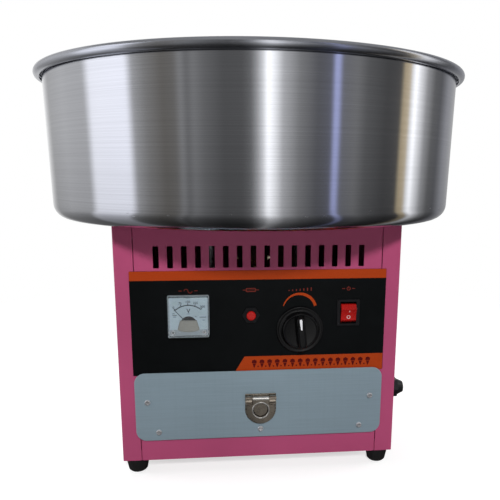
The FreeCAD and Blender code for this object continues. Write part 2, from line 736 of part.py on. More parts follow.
flap = d_shape(pull_half - 0.8, pull_low + 0.6, pin_z - ear_half - 0.9, 3.0, flap_front, flap_back)
flap = flap.fuse(block(-barrel_half, barrel_half, flap_front, flap_back, pin_z - ear_half - 2, pin_z))
flap = flap.fuse(rod(barrel_radius, (-barrel_half, pin_y, pin_z), (1, 0, 0), 2 * barrel_half))
ring = rod(hole_radius + 1.6, (0, flap_front - 0.9, hole_z), (0, 1, 0), flap_thick + 0.9)
ring_rim = [e for e in ring.Edges if abs(e.CenterOfMass.y - flap_front + 0.9) < 1e-6]
flap = flap.fuse(ring.makeFillet(0.7, ring_rim))
flap = flap.cut(rod(hole_radius, (0, flap_front - 3, hole_z), (0, 1, 0), 10))
flap = flap.cut(rod(pin_radius + run_gap, (-pull_half, pin_y, pin_z), (1, 0, 0), 2 * pull_half))
save("handle_flap", flap)

# runners: folded rails on the base tray that carry the drawer's edges
runner_thick = 1.5
runner_foot = 14.0
runner_ledge = 12.0
runner_back = tray_back + 8
runner_web = tray_half + 2.0
rail_top = tray_low - runner_gap
rail_floor = floor_z + sheet


def runner(side):
    corners = [
        (runner_web - runner_ledge, rail_top - runner_thick), (runner_web, rail_top - runner_thick),
        (runner_web, rail_floor + runner_thick), (runner_web - runner_foot, rail_floor + runner_thick),
        (runner_web - runner_foot, rail_floor), (runner_web + runner_thick, rail_floor),
        (runner_web + runner_thick, rail_top + 14), (runner_web, rail_top + 14), (runner_web, rail_top),
        (runner_web - runner_ledge, rail_top)]
    return plate([(side * x, z, 0) for x, z in corners], panel_back + 12, runner_back)


save("drawer_runners", group([runner(-1), runner(1)]))

# ---- bowl ----------------------------------------------------------------------------
neck_bend = 4.0
inner = bowl_wall_top - bowl_sheet
shell = spun([
    (bowl_hole, bowl_z + bowl_neck, 0), (bowl_hole + bowl_sheet, bowl_z + bowl_neck, 0),
    (bowl_hole + bowl_sheet, bowl_z + bowl_sheet, neck_bend - bowl_sheet),
    (bowl_wall_bottom - bowl_sheet, bowl_z + bowl_sheet, bowl_corner - bowl_sheet),
    (inner, rim_z, 0), (bowl_wall_top, rim_z, 0),
    (bowl_wall_bottom, bowl_z, bowl_corner), (bowl_hole, bowl_z, neck_bend)])
bead_r = bowl_rim_radius - bowl_bead
bead_in = bowl_bead - bowl_sheet


def bead_point(radius, degrees):
    angle = math.radians(degrees)
    return V(bead_r + radius * math.cos(angle), 0, rim_z + radius * math.sin(angle))


def bead_arc(radius, start, end):
    middle = bead_point(radius, (start + end) / 2)
    return Part.Arc(bead_point(radius, start), middle, bead_point(radius, end)).toShape()


curl_end = -105.0               # the curl stops here, open underneath
curl = Part.Wire([
    bead_arc(bowl_bead, 180, curl_end),
    Part.LineSegment(bead_point(bowl_bead, curl_end), bead_point(bead_in, curl_end)).toShape(),
    bead_arc(bead_in, curl_end, 180),
    Part.LineSegment(bead_point(bead_in, 180), bead_point(bowl_bead, 180)).toShape()])
curl = Part.Face(curl).revolve(V(0, 0, 0), V(0, 0, 1), 360)
save("bowl", shell.fuse(curl).removeSplitter())

ring_out = bowl_hole - 0.5
save("bowl_locating_ring", tube(ring_out, ring_out - 6.5, (0, 0, top_z), (0, 0, 1), 10.0))
save("bowl_gasket", tube(bowl_hole + 16, bowl_hole + 6, (0, 0, top_z), (0, 0, 1), gasket_thickness))

# ---- motor ------------------------------------------------------------------------------
motor_top = top_z - motor_drop
motor_low = motor_top - motor_height
bell_wall = 2.5
bell_height = 20.0
bearing_radius = 16.0
bearing_high = 10.0
bell_face = 4.0
rotor_radius = 30.0
air_gap = 0.5
stator_low = motor_low + bell_height
stator_high = motor_top - bell_height


def bell(face_z, direction):
    """End bell with a bearing pocket; its open side looks along direction."""
    edge = face_z + direction * bell_height
    pocket = face_z + direction * (bell_face + bearing_high)
    z0, z1 = sorted((face_z, edge))
    shape = rod(motor_radius, (0, 0, z0), (0, 0, 1), z1 - z0)
    z0, z1 = sorted((face_z + direction * bell_face, edge + direction))
    hollow = tube(motor_radius - bell_wall, bearing_radius + 3, (0, 0, z0), (0, 0, 1), z1 - z0)
    shape = shape.cut(hollow)
    z0, z1 = sorted((face_z + direction * bell_face, pocket))
    shape = shape.cut(rod(bearing_radius + press_gap, (0, 0, z0), (0, 0, 1), z1 - z0))
    z0, z1 = sorted((pocket, edge + direction))
    shape = shape.cut(rod(bearing_radius + 4, (0, 0, z0), (0, 0, 1), z1 - z0))
    return shape.cut(rod(shaft_radius + 3, (0, 0, motor_low - 1), (0, 0, 1), motor_height + 2))


hanger_plate = 68.0             # half width of the upper bell's mounting flange
flange_thick = 4.0
upper = bell(motor_top, -1)
flange = block(-hanger_plate, hanger_plate, -hanger_plate, hanger_plate, motor_top - flange_thick, motor_top)
flange = flange.cut(rod(motor_radius - 1, (0, 0, motor_top - 10), (0, 0, 1), 20))
upper = upper.fuse(flange)
for x, y in hanger_places():
    upper = upper.cut(rod(hanger_radius + screw_clear, (x, y, motor_top - 10), (0, 0, 1), 20))
save("motor_upper_bell", upper)
save("motor_lower_bell", bell(motor_low, 1))
save("motor_stator", tube(motor_radius - 0.5, rotor_radius + air_gap, (0, 0, stator_low), (0, 0, 1),
                          stator_high - stator_low))
coil_height = 9.0
coil_outer = motor_radius - 8.0
coil_inner = rotor_radius + 6.0
coils = [tube(coil_outer, coil_inner, (0, 0, z), (0, 0, 1), coil_height)
         for z in (stator_low - coil_height, stator_high)]
save("motor_windings", group(coils))
bearing_lows = (motor_low + bell_face, motor_top - bell_face - bearing_high)
bearings = [tube(bearing_radius, shaft_radius + run_gap, (0, 0, z), (0, 0, 1), bearing_high)
            for z in bearing_lows]
save("motor_bearings", group(bearings))

isolator_high = 5.0
hanger_long = motor_drop + 7
hangers = []
isolators = []
for x, y in hanger_places():
    bolt = rod(hanger_radius, (x, y, top_z - hanger_long), (0, 0, 1), hanger_long)
    bolt = bolt.fuse(rod(5.0, (x, y, top_z), (0, 0, 1), 2.5))
    bolt = bolt.fuse(rod(6.0, (x, y, motor_top + isolator_high), (0, 0, 1),
                         motor_drop - sheet - isolator_high))
    bolt = bolt.fuse(hexagon(10.0, (x, y, motor_top - flange_thick - 4.0), (0, 0, 1), 4.0))
    hangers.append(bolt)
    isolators.append(tube(8.0, hanger_radius + 0.1, (x, y, motor_top), (0, 0, 1), isolator_high))
save("motor_hangers", group(hangers))
save("motor_isolators", group(isolators))

# ---- what turns: shaft, rotor, slip rings and the head ---------------------------------------
head_z = top_z + spinner_low
base_thick = 3.0
base_rim = 10.0
hub_radius = 18.0
hub_top = head_z + 10.0
nut_height = 7.0
shaft_low = motor_low + 1.0
shaft_top = hub_top + nut_height + 2
save("spinner_shaft", rod(shaft_radius, (0, 0, shaft_low), (0, 0, 1), shaft_top - shaft_low))
save("motor_rotor", tube(rotor_radius, shaft_radius + press_gap, (0, 0, stator_low - 2), (0, 0, 1),
                         stator_high - stator_low + 4))
bush_low = motor_top + 7
bush_high = top_z - 20
bush_radius = 20.0
ring_radius = 25.0
ring_height = 10.0
ring_lows = (bush_low + 8, bush_high - 18)
bush = tube(bush_radius, shaft_radius + press_gap, (0, 0, bush_low), (0, 0, 1), bush_high - bush_low)
save("slip_ring_bush", bush)
rings = [tube(ring_radius, bush_radius + press_gap, (0, 0, z), (0, 0, 1), ring_height) for z in ring_lows]
save("slip_rings", group(rings))

rim_top = head_z + base_rim
band_top = rim_top + band_height
heater_radius = 76.0
heater_wire = 3.5
heater_z = rim_top + band_height / 2
lid_thick = 3.0
post_place = 64.0
post_count = 4
post_seat = 2.6                 # spot-faced seat of a post screw, above the cover's edge
post_seat_radius = 5.0
base = spun([(shaft_radius + press_gap, head_z - 6, 0), (hub_radius, head_z - 6, 2), (hub_radius, head_z, 3),
             (spinner_radius, head_z, 5), (spinner_radius, rim_top, 0), (spinner_radius - 3, rim_top, 0),
             (spinner_radius - 3, head_z + base_thick, 2), (hub_radius, head_z + base_thick, 2),
             (hub_radius, hub_top, 2), (shaft_radius + press_gap, hub_top, 0)])
for k in range(post_count):
    angle = math.radians(45 + 90 * k)
    x = heater_radius * math.cos(angle)
    y = heater_radius * math.sin(angle)
    base = base.fuse(rod(3.0, (x, y, head_z + base_thick - 0.5), (0, 0, 1), heater_z - heater_wire - seat_gap
                         - head_z - base_thick + 0.5))
save("head_base", base)
save("heating_element", Part.makeTorus(heater_radius, heater_wire, V(0, 0, heater_z)))

band_radius = spinner_radius - 0.6
band_thick = 0.8
band_slots = 36
band_slot = 4.0
band = tube(band_radius, band_radius - band_thick, (0, 0, rim_top), (0, 0, 1), band_height)
cutters = []
for k in range(band_slots // 2):
    cutter = block(-spinner_radius - 5, spinner_radius + 5, -band_slot / 2, band_slot / 2,
                   rim_top + 5, band_top - 5)
    cutter.rotate(V(0, 0, 0), V(0, 0, 1), 360 / band_slots * k)
    cutters.append(cutter)
save("head_band", band.cut(group(cutters)))

cover_top = band_top + lid_thick
well_wall = 2.0
well_skirt = 8.0                # the well's wall below the cover
well_lip = 4.0                  # and above its edge
cover = spun([(well_radius, band_top - well_skirt, 0), (well_radius + well_wall, band_top - well_skirt, 0),
              (well_radius + well_wall, band_top, 2), (spinner_radius, band_top, 0),
              (spinner_radius, cover_top, 1.2), (well_radius, cover_top + well_lip, 1.0)])
screws = []
for k in range(post_count):
    angle = math.radians(90 * k)
    x = post_place * math.cos(angle)
    y = post_place * math.sin(angle)
    cover = cover.cut(rod(screw_radius + screw_clear, (x, y, band_top - 10), (0, 0, 1), 20))
    seat = (x, y, cover_top + post_seat)
    cover = cover.cut(rod(post_seat_radius, (x, y, seat[2]), (0, 0, 1), 10))
    screws.append(pan_screw(m4_head, m4_head_height, screw_radius, seat[2] - head_z - base_thick, seat,
                            (0, 0, -1)))
save("head_cover", cover)
save("head_screws", group(screws))
nut_across = 17.0
nut_cone = cone(11.5, 8.0, (0, 0, hub_top), (0, 0, 1), nut_height + 3)
nut = hexagon(nut_across, (0, 0, hub_top), (0, 0, 1), nut_height).common(nut_cone)
save("head_nut", nut.cut(rod(shaft_radius + press_gap, (0, 0, hub_top - 1), (0, 0, 1), 20)))

# ---- brush gear: an insulating bracket with two sprung carbon brushes --------------------------
bracket_x0 = ring_radius + 5.0
bracket_x1 = bracket_x0 + 32.0
bracket_half = 10.0
brush_tall = 8.0
brush_wide = 6.0
brush_long = 16.0
brush_slack = 0.3
brush_zs = [z + ring_height / 2 for z in ring_lows]
bracket = block(bracket_x0, bracket_x1, -bracket_half, bracket_half, motor_top, brush_zs[1] + 10)
brushes = []
springs = []
for z in brush_zs:
    bracket = bracket.cut(block(bracket_x0 - 1, bracket_x1 - 3, -brush_wide / 2 - brush_slack,
                                brush_wide / 2 + brush_slack, z - brush_tall / 2 - brush_slack,
                                z + brush_tall / 2 + brush_slack))
    x0 = ring_radius + 0.3
    brushes.append(block(x0, x0 + brush_long, -brush_wide / 2, brush_wide / 2, z - brush_tall / 2,
                         z + brush_tall / 2))
    springs.append(tube(2.6, 1.9, (x0 + brush_long, 0, z), (1, 0, 0), bracket_x1 - 3 - x0 - brush_long))
save("brush_bracket", bracket)
save("brush_lower", brushes[0])
save("brush_upper", brushes[1])
save("brush_springs", group(springs))
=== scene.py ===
import json
import math

import bmesh
import bpy
from mathutils import Matrix, Vector, noise


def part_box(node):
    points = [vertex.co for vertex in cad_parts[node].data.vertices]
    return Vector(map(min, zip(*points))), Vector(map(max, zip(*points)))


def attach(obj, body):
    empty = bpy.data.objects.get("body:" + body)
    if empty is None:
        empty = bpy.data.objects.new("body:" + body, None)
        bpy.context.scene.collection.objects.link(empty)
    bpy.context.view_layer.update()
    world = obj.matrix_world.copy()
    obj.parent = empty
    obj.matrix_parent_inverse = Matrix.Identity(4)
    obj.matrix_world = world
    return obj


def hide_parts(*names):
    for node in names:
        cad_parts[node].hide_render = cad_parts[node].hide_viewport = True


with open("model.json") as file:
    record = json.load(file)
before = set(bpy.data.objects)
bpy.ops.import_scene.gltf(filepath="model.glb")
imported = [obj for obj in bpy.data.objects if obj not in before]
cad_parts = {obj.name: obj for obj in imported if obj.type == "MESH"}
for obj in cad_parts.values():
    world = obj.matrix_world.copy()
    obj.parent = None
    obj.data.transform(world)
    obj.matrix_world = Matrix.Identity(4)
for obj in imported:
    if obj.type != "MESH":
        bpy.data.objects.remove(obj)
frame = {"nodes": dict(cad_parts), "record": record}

# Counter-top cotton candy machine: pink cabinet, control panel, drawer, spun bowl and
# spinner head. Lengths are in metres, so mm turns a bench size into one.
mm = 0.001
scene = bpy.context.scene
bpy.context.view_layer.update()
nodeObjects = frame["nodes"]
slotOf = {part["node"]: part["material_slot"] for part in frame["record"]["subparts"]}


def low(node):
    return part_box(node)[0]


def high(node):
    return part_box(node)[1]


def middle(node):
    return (low(node) + high(node)) / 2


def sizesOf(piece, names):
    return [piece[name] for name in names.split()]


# mesh helpers
def placed(name, data):
    piece = bpy.data.objects.new(name, data)
    scene.collection.objects.link(piece)
    return piece


def makeObject(name, mesh, body, slot=None, material=None):
    # a piece of the machine in its slot's own finish, unless another is given
    piece = placed(name, mesh)
    mesh.materials.append(material or materials[slot])
    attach(piece, body)
    return piece


def meshFrom(name, verts, faces, smooth=True):
    mesh = bpy.data.meshes.new(name)
    mesh.from_pydata(verts, [], faces)
    mesh.update()
    for polygon in mesh.polygons:
        polygon.use_smooth = smooth
    return mesh


def smooth(mesh):
    for polygon in mesh.polygons:
        polygon.use_smooth = True


def wallFaces(count, rings=2):
    # quads between closed rings of count points, one ring after another
    faces = []
    for here in range(0, (rings - 1) * count, count):
        for k in range(count):
            j = (k + 1) % count
            faces.append((here + k, here + j, here + count + j, here + count + k))
    return faces


def turnAbout(centre, degrees, axis):
    turn = Matrix.Rotation(math.radians(degrees), 4, axis)
    return Matrix.Translation(centre) @ turn @ Matrix.Translation(-centre)


def fixNormals(mesh):
    bm = bmesh.new()
    bm.from_mesh(mesh)
    bmesh.ops.recalc_face_normals(bm, faces=bm.faces)
    bm.to_mesh(mesh)
    bm.free()
    return mesh


def arcPoints(centreX, centreY, radius, startAngle, endAngle, count):
    points = []
    for k in range(count + 1):
        angle = math.radians(startAngle + (endAngle - startAngle) * k / count)
        points.append((centreX + radius * math.cos(angle), centreY + radius * math.sin(angle)))
    return points


def roundedBox(centreX, centreY, width, height, corner, steps=5):
    right = centreX + width / 2 - corner
    left = centreX - width / 2 + corner
    top = centreY + height / 2 - corner
    bottom = centreY - height / 2 + corner
    points = arcPoints(right, top, corner, 0, 90, steps)
    points += arcPoints(left, top, corner, 90, 180, steps)
    points += arcPoints(left, bottom, corner, 180, 270, steps)
    points += arcPoints(right, bottom, corner, 270, 360, steps)
    return points


def lathe(name, profile, segments=128, closed=True, wobble=None):
    # profile is a list of (radius, height); the loop closes on itself unless told not to
    verts = []
    faces = []
    count = len(profile)
    for s in range(segments):
        angle = 2 * math.pi * s / segments
        for radius, height in profile:
            r = radius + (wobble(angle, radius, height) if wobble else 0)
            verts.append((r * math.cos(angle), r * math.sin(angle), height))
    last = count if closed else count - 1
    for s in range(segments):
        following = (s + 1) % segments
        for k in range(last):
            j = (k + 1) % count
            faces.append((s * count + k, following * count + k, following * count + j, s * count + j))
    return fixNormals(meshFrom(name, verts, faces))


def extruded(name, outline, yFront, yBack, holes=()):
    # flat plate that faces the front, from (x, z) points; holes are more loops of points
    bm = bmesh.new()
    edges = []
    for loop in [outline, *holes]:
        ring = [bm.verts.new((x, yFront, z)) for x, z in loop]
        for k in range(len(ring)):
            edges.append(bm.edges.new((ring[k], ring[(k + 1) % len(ring)])))
    if holes:
        bmesh.ops.triangle_fill(bm, use_beauty=True, edges=edges)
    else:
        bmesh.ops.contextual_create(bm, geom=bm.edges[:])
    front = bm.faces[:]
    grown = bmesh.ops.extrude_face_region(bm, geom=front)
    moved = [item for item in grown["geom"] if isinstance(item, bmesh.types.BMVert)]
    bmesh.ops.translate(bm, verts=moved, vec=(0, yBack - yFront, 0))
    bmesh.ops.recalc_face_normals(bm, faces=bm.faces)
    mesh = bpy.data.meshes.new(name)
    bm.to_mesh(mesh)
    bm.free()
    return mesh


def stacked(name, outlineAt, levels):
    # closed form through outlines that lie one in front of another; levels are (inset, y)
    verts = []
    for inset, y in levels:
        ring = outlineAt(inset)
        verts += [(x, y, z) for x, z in ring]
    count = len(ring)
    faces = wallFaces(count, len(levels))
    faces.append(tuple(range(count)))
    faces.append(tuple(range((len(levels) - 1) * count, len(levels) * count)))
    return fixNormals(meshFrom(name, verts, faces))


def facingFront(mesh, x, y, z):
    # a lathe's +Z turned to face the front, its foot at the given place
    mesh.transform(Matrix.Translation((x, y, z)) @ Matrix.Rotation(math.radians(90), 4, "X"))
    return mesh


def softenEdges(piece, width, segments=2, weld=True, angle=32):
    if weld:
        joined = piece.modifiers.new("joined", "WELD")
        joined.merge_threshold = 0.002 * mm
        flattened = piece.modifiers.new("flattened", "DECIMATE")
        flattened.decimate_type = "DISSOLVE"
        flattened.angle_limit = math.radians(0.6)
        flattened.delimit = {"NORMAL"}
    rounded = piece.modifiers.new("rounded", "BEVEL")
    rounded.width = width
    rounded.segments = segments
    rounded.limit_method = "ANGLE"
    rounded.angle_limit = math.radians(angle)
    shaded = piece.modifiers.new("shaded", "WEIGHTED_NORMAL")
    shaded.weight = 80
    return piece


def mergeMeshes(name, meshes):
    bm = bmesh.new()
    for mesh in meshes:
        bm.from_mesh(mesh)
    merged = bpy.data.meshes.new(name)
    bm.to_mesh(merged)
    bm.free()
    return merged


# material helpers: the node or socket passed in says which tree to build in
def paint(red, green, blue):
    # screen values 0 to 255 to the linear colour that the shader takes
    linear = []
    for value in (red, green, blue):
        share = value / 255
        linear.append(share / 12.92 if share <= 0.04045 else ((share + 0.055) / 1.055) ** 2.4)
    return (*linear, 1.0)


def tint(colour, amount):
    return (*[min(1.0, part * amount) for part in colour[:3]], 1.0)


def setInputs(node, values):
    for socket, value in values.items():
        node.inputs[socket].default_value = value


def addNode(near, kind):
    return near.id_data.nodes.new("ShaderNode" + kind)


def feed(node, socket, source):
    node.id_data.links.new(source, node.inputs[socket])


def newMaterial(name, metallic=0.0):
    material = bpy.data.materials.new(name)
    material.use_nodes = True
    shader = material.node_tree.nodes["Principled BSDF"]
    shader.inputs["Metallic"].default_value = metallic
    return material, shader


def objectSpace(near, stretch=(1, 1, 1)):
    coords = addNode(near, "TexCoord")
    mapping = addNode(near, "Mapping")
    mapping.inputs["Scale"].default_value = stretch
    feed(mapping, "Vector", coords.outputs["Object"])
    return mapping.outputs["Vector"]


def axes(vector):
    split = addNode(vector, "SeparateXYZ")
    feed(split, "Vector", vector)
    return split.outputs["X"], split.outputs["Y"], split.outputs["Z"]


def noiseField(vector, scale, detail=3.0, roughness=0.55):
    field = addNode(vector, "TexNoise")
    setInputs(field, {"Scale": scale, "Detail": detail, "Roughness": roughness})
    feed(field, "Vector", vector)
    return field.outputs["Fac"]


def voronoiField(vector, scale, output="Distance"):
    field = addNode(vector, "TexVoronoi")
    field.inputs["Scale"].default_value = scale
    feed(field, "Vector", vector)
    return field.outputs[output]


def waveField(vector, kind, scale, distortion):
    field = addNode(vector, "TexWave")
    field.wave_type = kind
    field.rings_direction = field.bands_direction = "Z"
    setInputs(field, {"Scale": scale, "Distortion": distortion})
    feed(field, "Vector", vector)
    return field.outputs["Fac"]


def colourRamp(source, stops):
    ramp = addNode(source, "ValToRGB")
    elements = ramp.color_ramp.elements
    while len(elements) > 1:
        elements.remove(elements[-1])
    elements[0].position = stops[0][0]
    elements[0].color = stops[0][1]
    for position, colour in stops[1:]:
        elements.new(position).color = colour
    feed(ramp, "Fac", source)
    return ramp.outputs["Color"]


def mottled(source, base, dark, pale, first=0.3, last=0.7):
    # the base colour, darker where the field is low and paler where it is high
    return colourRamp(source, [(first, tint(base, dark)), (last, tint(base, pale))])


def spread(source, lowest, highest, fromLow=0.0, fromHigh=1.0):
    node = addNode(source, "MapRange")
    setInputs(node, {"From Min": fromLow, "From Max": fromHigh, "To Min": lowest, "To Max": highest})
    feed(node, "Value", source)
    return node.outputs["Result"]


def calculate(operation, first, second=None):
    node = addNode(first, "Math")
    node.operation = operation
    feed(node, 0, first)
    if isinstance(second, (int, float)):
        node.inputs[1].default_value = second
    elif second is not None:
        feed(node, 1, second)
    return node.outputs["Value"]


def times(first, second):
    return calculate("MULTIPLY", first, second)


def plus(first, second):
    return calculate("ADD", first, second)


def blendColours(factor, first, second):
    node = addNode(factor, "Mix")
    node.data_type = "RGBA"
    feed(node, 0, factor)
    for socket, value in ((6, first), (7, second)):
        if isinstance(value, tuple):
            node.inputs[socket].default_value = value
        else:
            feed(node, socket, value)
    return node.outputs[2]


def dress(shader, colour, roughness, height, strength, depth):
    feed(shader, "Base Color", colour)
    feed(shader, "Roughness", roughness)
    relief = addNode(shader, "Bump")
    setInputs(relief, {"Strength": strength, "Distance": depth})
    feed(relief, "Height", height)
    feed(shader, "Normal", relief.outputs["Normal"])


# finishes
powderCoat = {
    "colour": paint(172, 72, 111),
    "deep": 0.90,
    "pale": 1.07,
    "clouds": 7.0,
    "sheen": 26.0,
    "dust": 420.0,
    "peel": 1100.0,
    "peelDepth": 0.05 * mm,
    "roughness": (0.34, 0.46),
}


def makePowderCoat():
    material, shader = newMaterial("pinkPowderCoat")
    vector = objectSpace(shader)
    base = powderCoat["colour"]
    cloudy = noiseField(vector, powderCoat["clouds"], 4.0)
    shade = mottled(cloudy, base, powderCoat["deep"], powderCoat["pale"])
    specks = spread(noiseField(vector, powderCoat["dust"], 1.0), 0.0, 0.5, 0.74, 0.80)
    rough = spread(noiseField(vector, powderCoat["sheen"]), *powderCoat["roughness"])
    peel = noiseField(vector, powderCoat["peel"], 2.0)
    dress(shader, blendColours(specks, shade, tint(base, 1.5)), rough, peel, 0.35, powderCoat["peelDepth"])
    setInputs(shader, {"Specular IOR Level": 0.28, "Coat Weight": 0.05, "Coat Roughness": 0.25})
    return material


brushedSteel = {
    "bowlColour": (0.59, 0.60, 0.635, 1),
    "rimColour": (0.52, 0.535, 0.585, 1),
    "drawerColour": (0.345, 0.45, 0.52, 1),
    "bowlStreaks": (3, 3, 1400),
    "scuffStart": (10 * mm, 15 * mm),      # heights above the bowl's floor between which scuffs come in
    "scuffEnd": (17 * mm, 23 * mm),        # and go out again
}


def makeBowlSteel():
    material, shader = newMaterial("brushedBowlSteel", 1.0)
    base = brushedSteel["bowlColour"]
    plain = objectSpace(shader)
    streaks = noiseField(objectSpace(shader, brushedSteel["bowlStreaks"]), 1.0, 5.0, 0.65)
    wide = noiseField(objectSpace(shader, (3, 3, 60)), 1.0)
    smudge = spread(noiseField(plain, 9.0), 0.0, 0.12, 0.5, 0.75)
    colour = blendColours(smudge, mottled(streaks, base, 0.9, 1.06), tint(base, 0.8))
    rough = plus(spread(streaks, 0.11, 0.155), spread(wide, -0.015, 0.02))
    # handling scuffs gather just above the bottom corner
    height = axes(plain)[2]
    floorZ = low("bowl").z
    comeIn = spread(height, 0, 1, *[floorZ + up for up in brushedSteel["scuffStart"]])
    goOut = spread(height, 1, 0, *[floorZ + up for up in brushedSteel["scuffEnd"]])
    nearCorner = times(comeIn, goOut)
    scratches = voronoiField(objectSpace(shader, (55, 55, 240)), 1.0)
    scuff = times(nearCorner, spread(scratches, 1, 0, 0.02, 0.16))
    dress(shader, colour, plus(rough, times(scuff, 0.35)),
          plus(streaks, times(scuff, -1.2)), 0.05, 0.03 * mm)
    setInputs(shader, {"Anisotropic": 0.85, "Anisotropic Rotation": 0.25})
    tangent = addNode(shader, "Tangent")
    tangent.direction_type = "RADIAL"
    tangent.axis = "Z"
    feed(shader, "Tangent", tangent.outputs["Tangent"])
    return material


def makeRimSteel():
    material, shader = newMaterial("rolledRimSteel", 1.0)
    streaks = noiseField(objectSpace(shader, (12, 12, 900)), 1.0, 4.0)
    dress(shader, mottled(streaks, brushedSteel["rimColour"], 0.86, 1.05), spread(streaks, 0.16, 0.27),
          streaks, 0.1, 0.02 * mm)
    return material


def makeDrawerSteel():
    # fine horizontal brushing under a dull, slightly blue skin
    material, shader = newMaterial("brushedDrawerSteel", 0.5)
    base = brushedSteel["drawerColour"]
    streaks = noiseField(objectSpace(shader, (16, 16, 900)), 1.0, 4.0, 0.6)
    cross = noiseField(objectSpace(shader, (420, 16, 9)), 1.0, 3.0, 0.6)
    cloudy = noiseField(objectSpace(shader), 11.0, 4.0)
    shade = mottled(streaks, base, 0.93, 1.07, 0.25, 0.75)
    shade = blendColours(spread(cross, 0.0, 0.22, 0.45, 0.8), shade, tint(base, 0.84))
    shade = blendColours(spread(cloudy, 0.0, 0.3, 0.45, 0.75), shade, tint(base, 1.12))
    dress(shader, shade, spread(cloudy, 0.42, 0.54), plus(streaks, cross), 0.14, 0.03 * mm)
    return material


def makeSheetSteel(name, base, stretch, roughness):
    material, shader = newMaterial(name, 1.0)
    streaks = noiseField(objectSpace(shader, stretch), 1.0, 4.0, 0.6)
    dress(shader, mottled(streaks, base, 0.85, 1.1, 0.25, 0.75), spread(streaks, *roughness),
          streaks, 0.12, 0.03 * mm)
    return material


def makeZincSheet():
    # hot-dip spangle: flat crystals of slightly different greys
    material, shader = newMaterial("spangledZinc", 1.0)
    vector = objectSpace(shader)
    grey = addNode(shader, "SeparateColor")
    feed(grey, "Color", voronoiField(vector, 90.0, "Color"))
    colour = colourRamp(grey.outputs["Red"], [(0.0, (0.40, 0.42, 0.44, 1)), (1.0, (0.62, 0.64, 0.66, 1))])
    grain = noiseField(vector, 500.0)
    dress(shader, colour, spread(grey.outputs["Green"], 0.28, 0.48), grain, 0.08, 0.03 * mm)
    return material


def makeCast(name, base, roughness, grain, depth):
    material, shader = newMaterial(name, 1.0)
    vector = objectSpace(shader)
    pits = noiseField(vector, grain, 4.0, 0.6)
    cloudy = noiseField(vector, grain / 20)
    dress(shader, mottled(cloudy, base, 0.8, 1.1), spread(pits, *roughness), pits, 0.3, depth)
    return material


def makePlated(name, base, roughness, metallic=1.0):
    # bright plating with a little haze and fine handling marks
    material, shader = newMaterial(name, metallic)
    haze = noiseField(objectSpace(shader), 180.0)
    marks = noiseField(objectSpace(shader, (900, 900, 60)), 1.0, 2.0)
    dress(shader, mottled(haze, base, 0.82, 1.1), spread(haze, *roughness),
          plus(haze, marks), 0.08, 0.02 * mm)
    return material


def makeSpunAlloy():
    # turning marks run round the spindle, so the field depends on the radius alone
    material, shader = newMaterial("spunAlloy", 1.0)
    vector = objectSpace(shader)
    x, y, z = axes(vector)
    squares = plus(times(x, x), times(y, y))
    place = addNode(shader, "CombineXYZ")
    feed(place, "X", calculate("SQRT", squares))
    feed(place, "Y", z)
    rings = noiseField(place.outputs["Vector"], 1400.0, 3.0, 0.7)
    colour = colourRamp(rings, [(0.3, (0.52, 0.52, 0.53, 1)), (0.7, (0.74, 0.74, 0.75, 1))])
    rough = plus(spread(rings, 0.18, 0.28), spread(noiseField(vector, 30.0), 0.0, 0.12))
    dress(shader, colour, rough, rings, 0.2, 0.03 * mm)
    shader.inputs["Anisotropic"].default_value = 0.6
    return material


def makeMoulded(name, colour, roughness, grain, depth, coat=0.0, shine=0.5):
    # moulded plastic: faint flow clouds in the colour and a fine tool texture
    material, shader = newMaterial(name)
    vector = objectSpace(shader)
    texture = noiseField(vector, grain, 3.0, 0.6)
    dress(shader, mottled(noiseField(vector, 45.0), paint(*colour), 0.86, 1.12), spread(texture, *roughness),
          texture, 0.25, depth * mm)
    setInputs(shader, {"Specular IOR Level": shine, "Coat Weight": coat, "Coat Roughness": 0.08})
    return material


def makeWinding():
    # lacquered copper wire laid round the motor: fine rings with gaps between turns
    material, shader = newMaterial("lacqueredWinding", 0.9)
    wires = waveField(objectSpace(shader), "RINGS", 260.0, 1.5)
    dress(shader, colourRamp(wires, [(0.1, paint(84, 34, 14)), (0.6, paint(196, 112, 62))]),
          spread(wires, 0.5, 0.26), wires, 0.8, 0.3 * mm)
    return material


def makeLaminations():
    # stacked electrical sheet: dark lines every half millimetre of height
    material, shader = newMaterial("stackedCoreSteel", 0.9)
    sheets = waveField(objectSpace(shader), "BANDS", 320.0, 0.3)
    rust = noiseField(objectSpace(shader), 40.0, 4.0)
    lines = colourRamp(sheets, [(0.1, paint(52, 50, 49)), (0.5, paint(122, 121, 122))])
    dress(shader, blendColours(spread(rust, 0.0, 0.4, 0.5, 0.8), lines, paint(86, 62, 46)),
          spread(rust, 0.38, 0.62), sheets, 0.5, 0.15 * mm)
    return material


def makeClearCover():
    material, shader = newMaterial("clearMeterCover")
    setInputs(shader, {"Base Color": (0.93, 0.96, 0.97, 1), "Transmission Weight": 1.0, "IOR": 1.45})
    feed(shader, "Roughness", spread(noiseField(objectSpace(shader), 220.0), 0.01, 0.07))
    return material


def makeInk(name, base):
    material, shader = newMaterial(name)
    vector = objectSpace(shader)
    dots = noiseField(vector, 900.0, 2.0)
    worn = noiseField(vector, 60.0, 4.0)
    rubbed = spread(worn, 0.0, 0.35, 0.6, 0.85)
    colour = blendColours(rubbed, mottled(dots, base, 0.88, 1.08), tint(base, 0.6))
    dress(shader, colour, spread(worn, 0.35, 0.5), dots, 0.1, 0.02 * mm)
    shader.inputs["Specular IOR Level"].default_value = 0.15
    return material


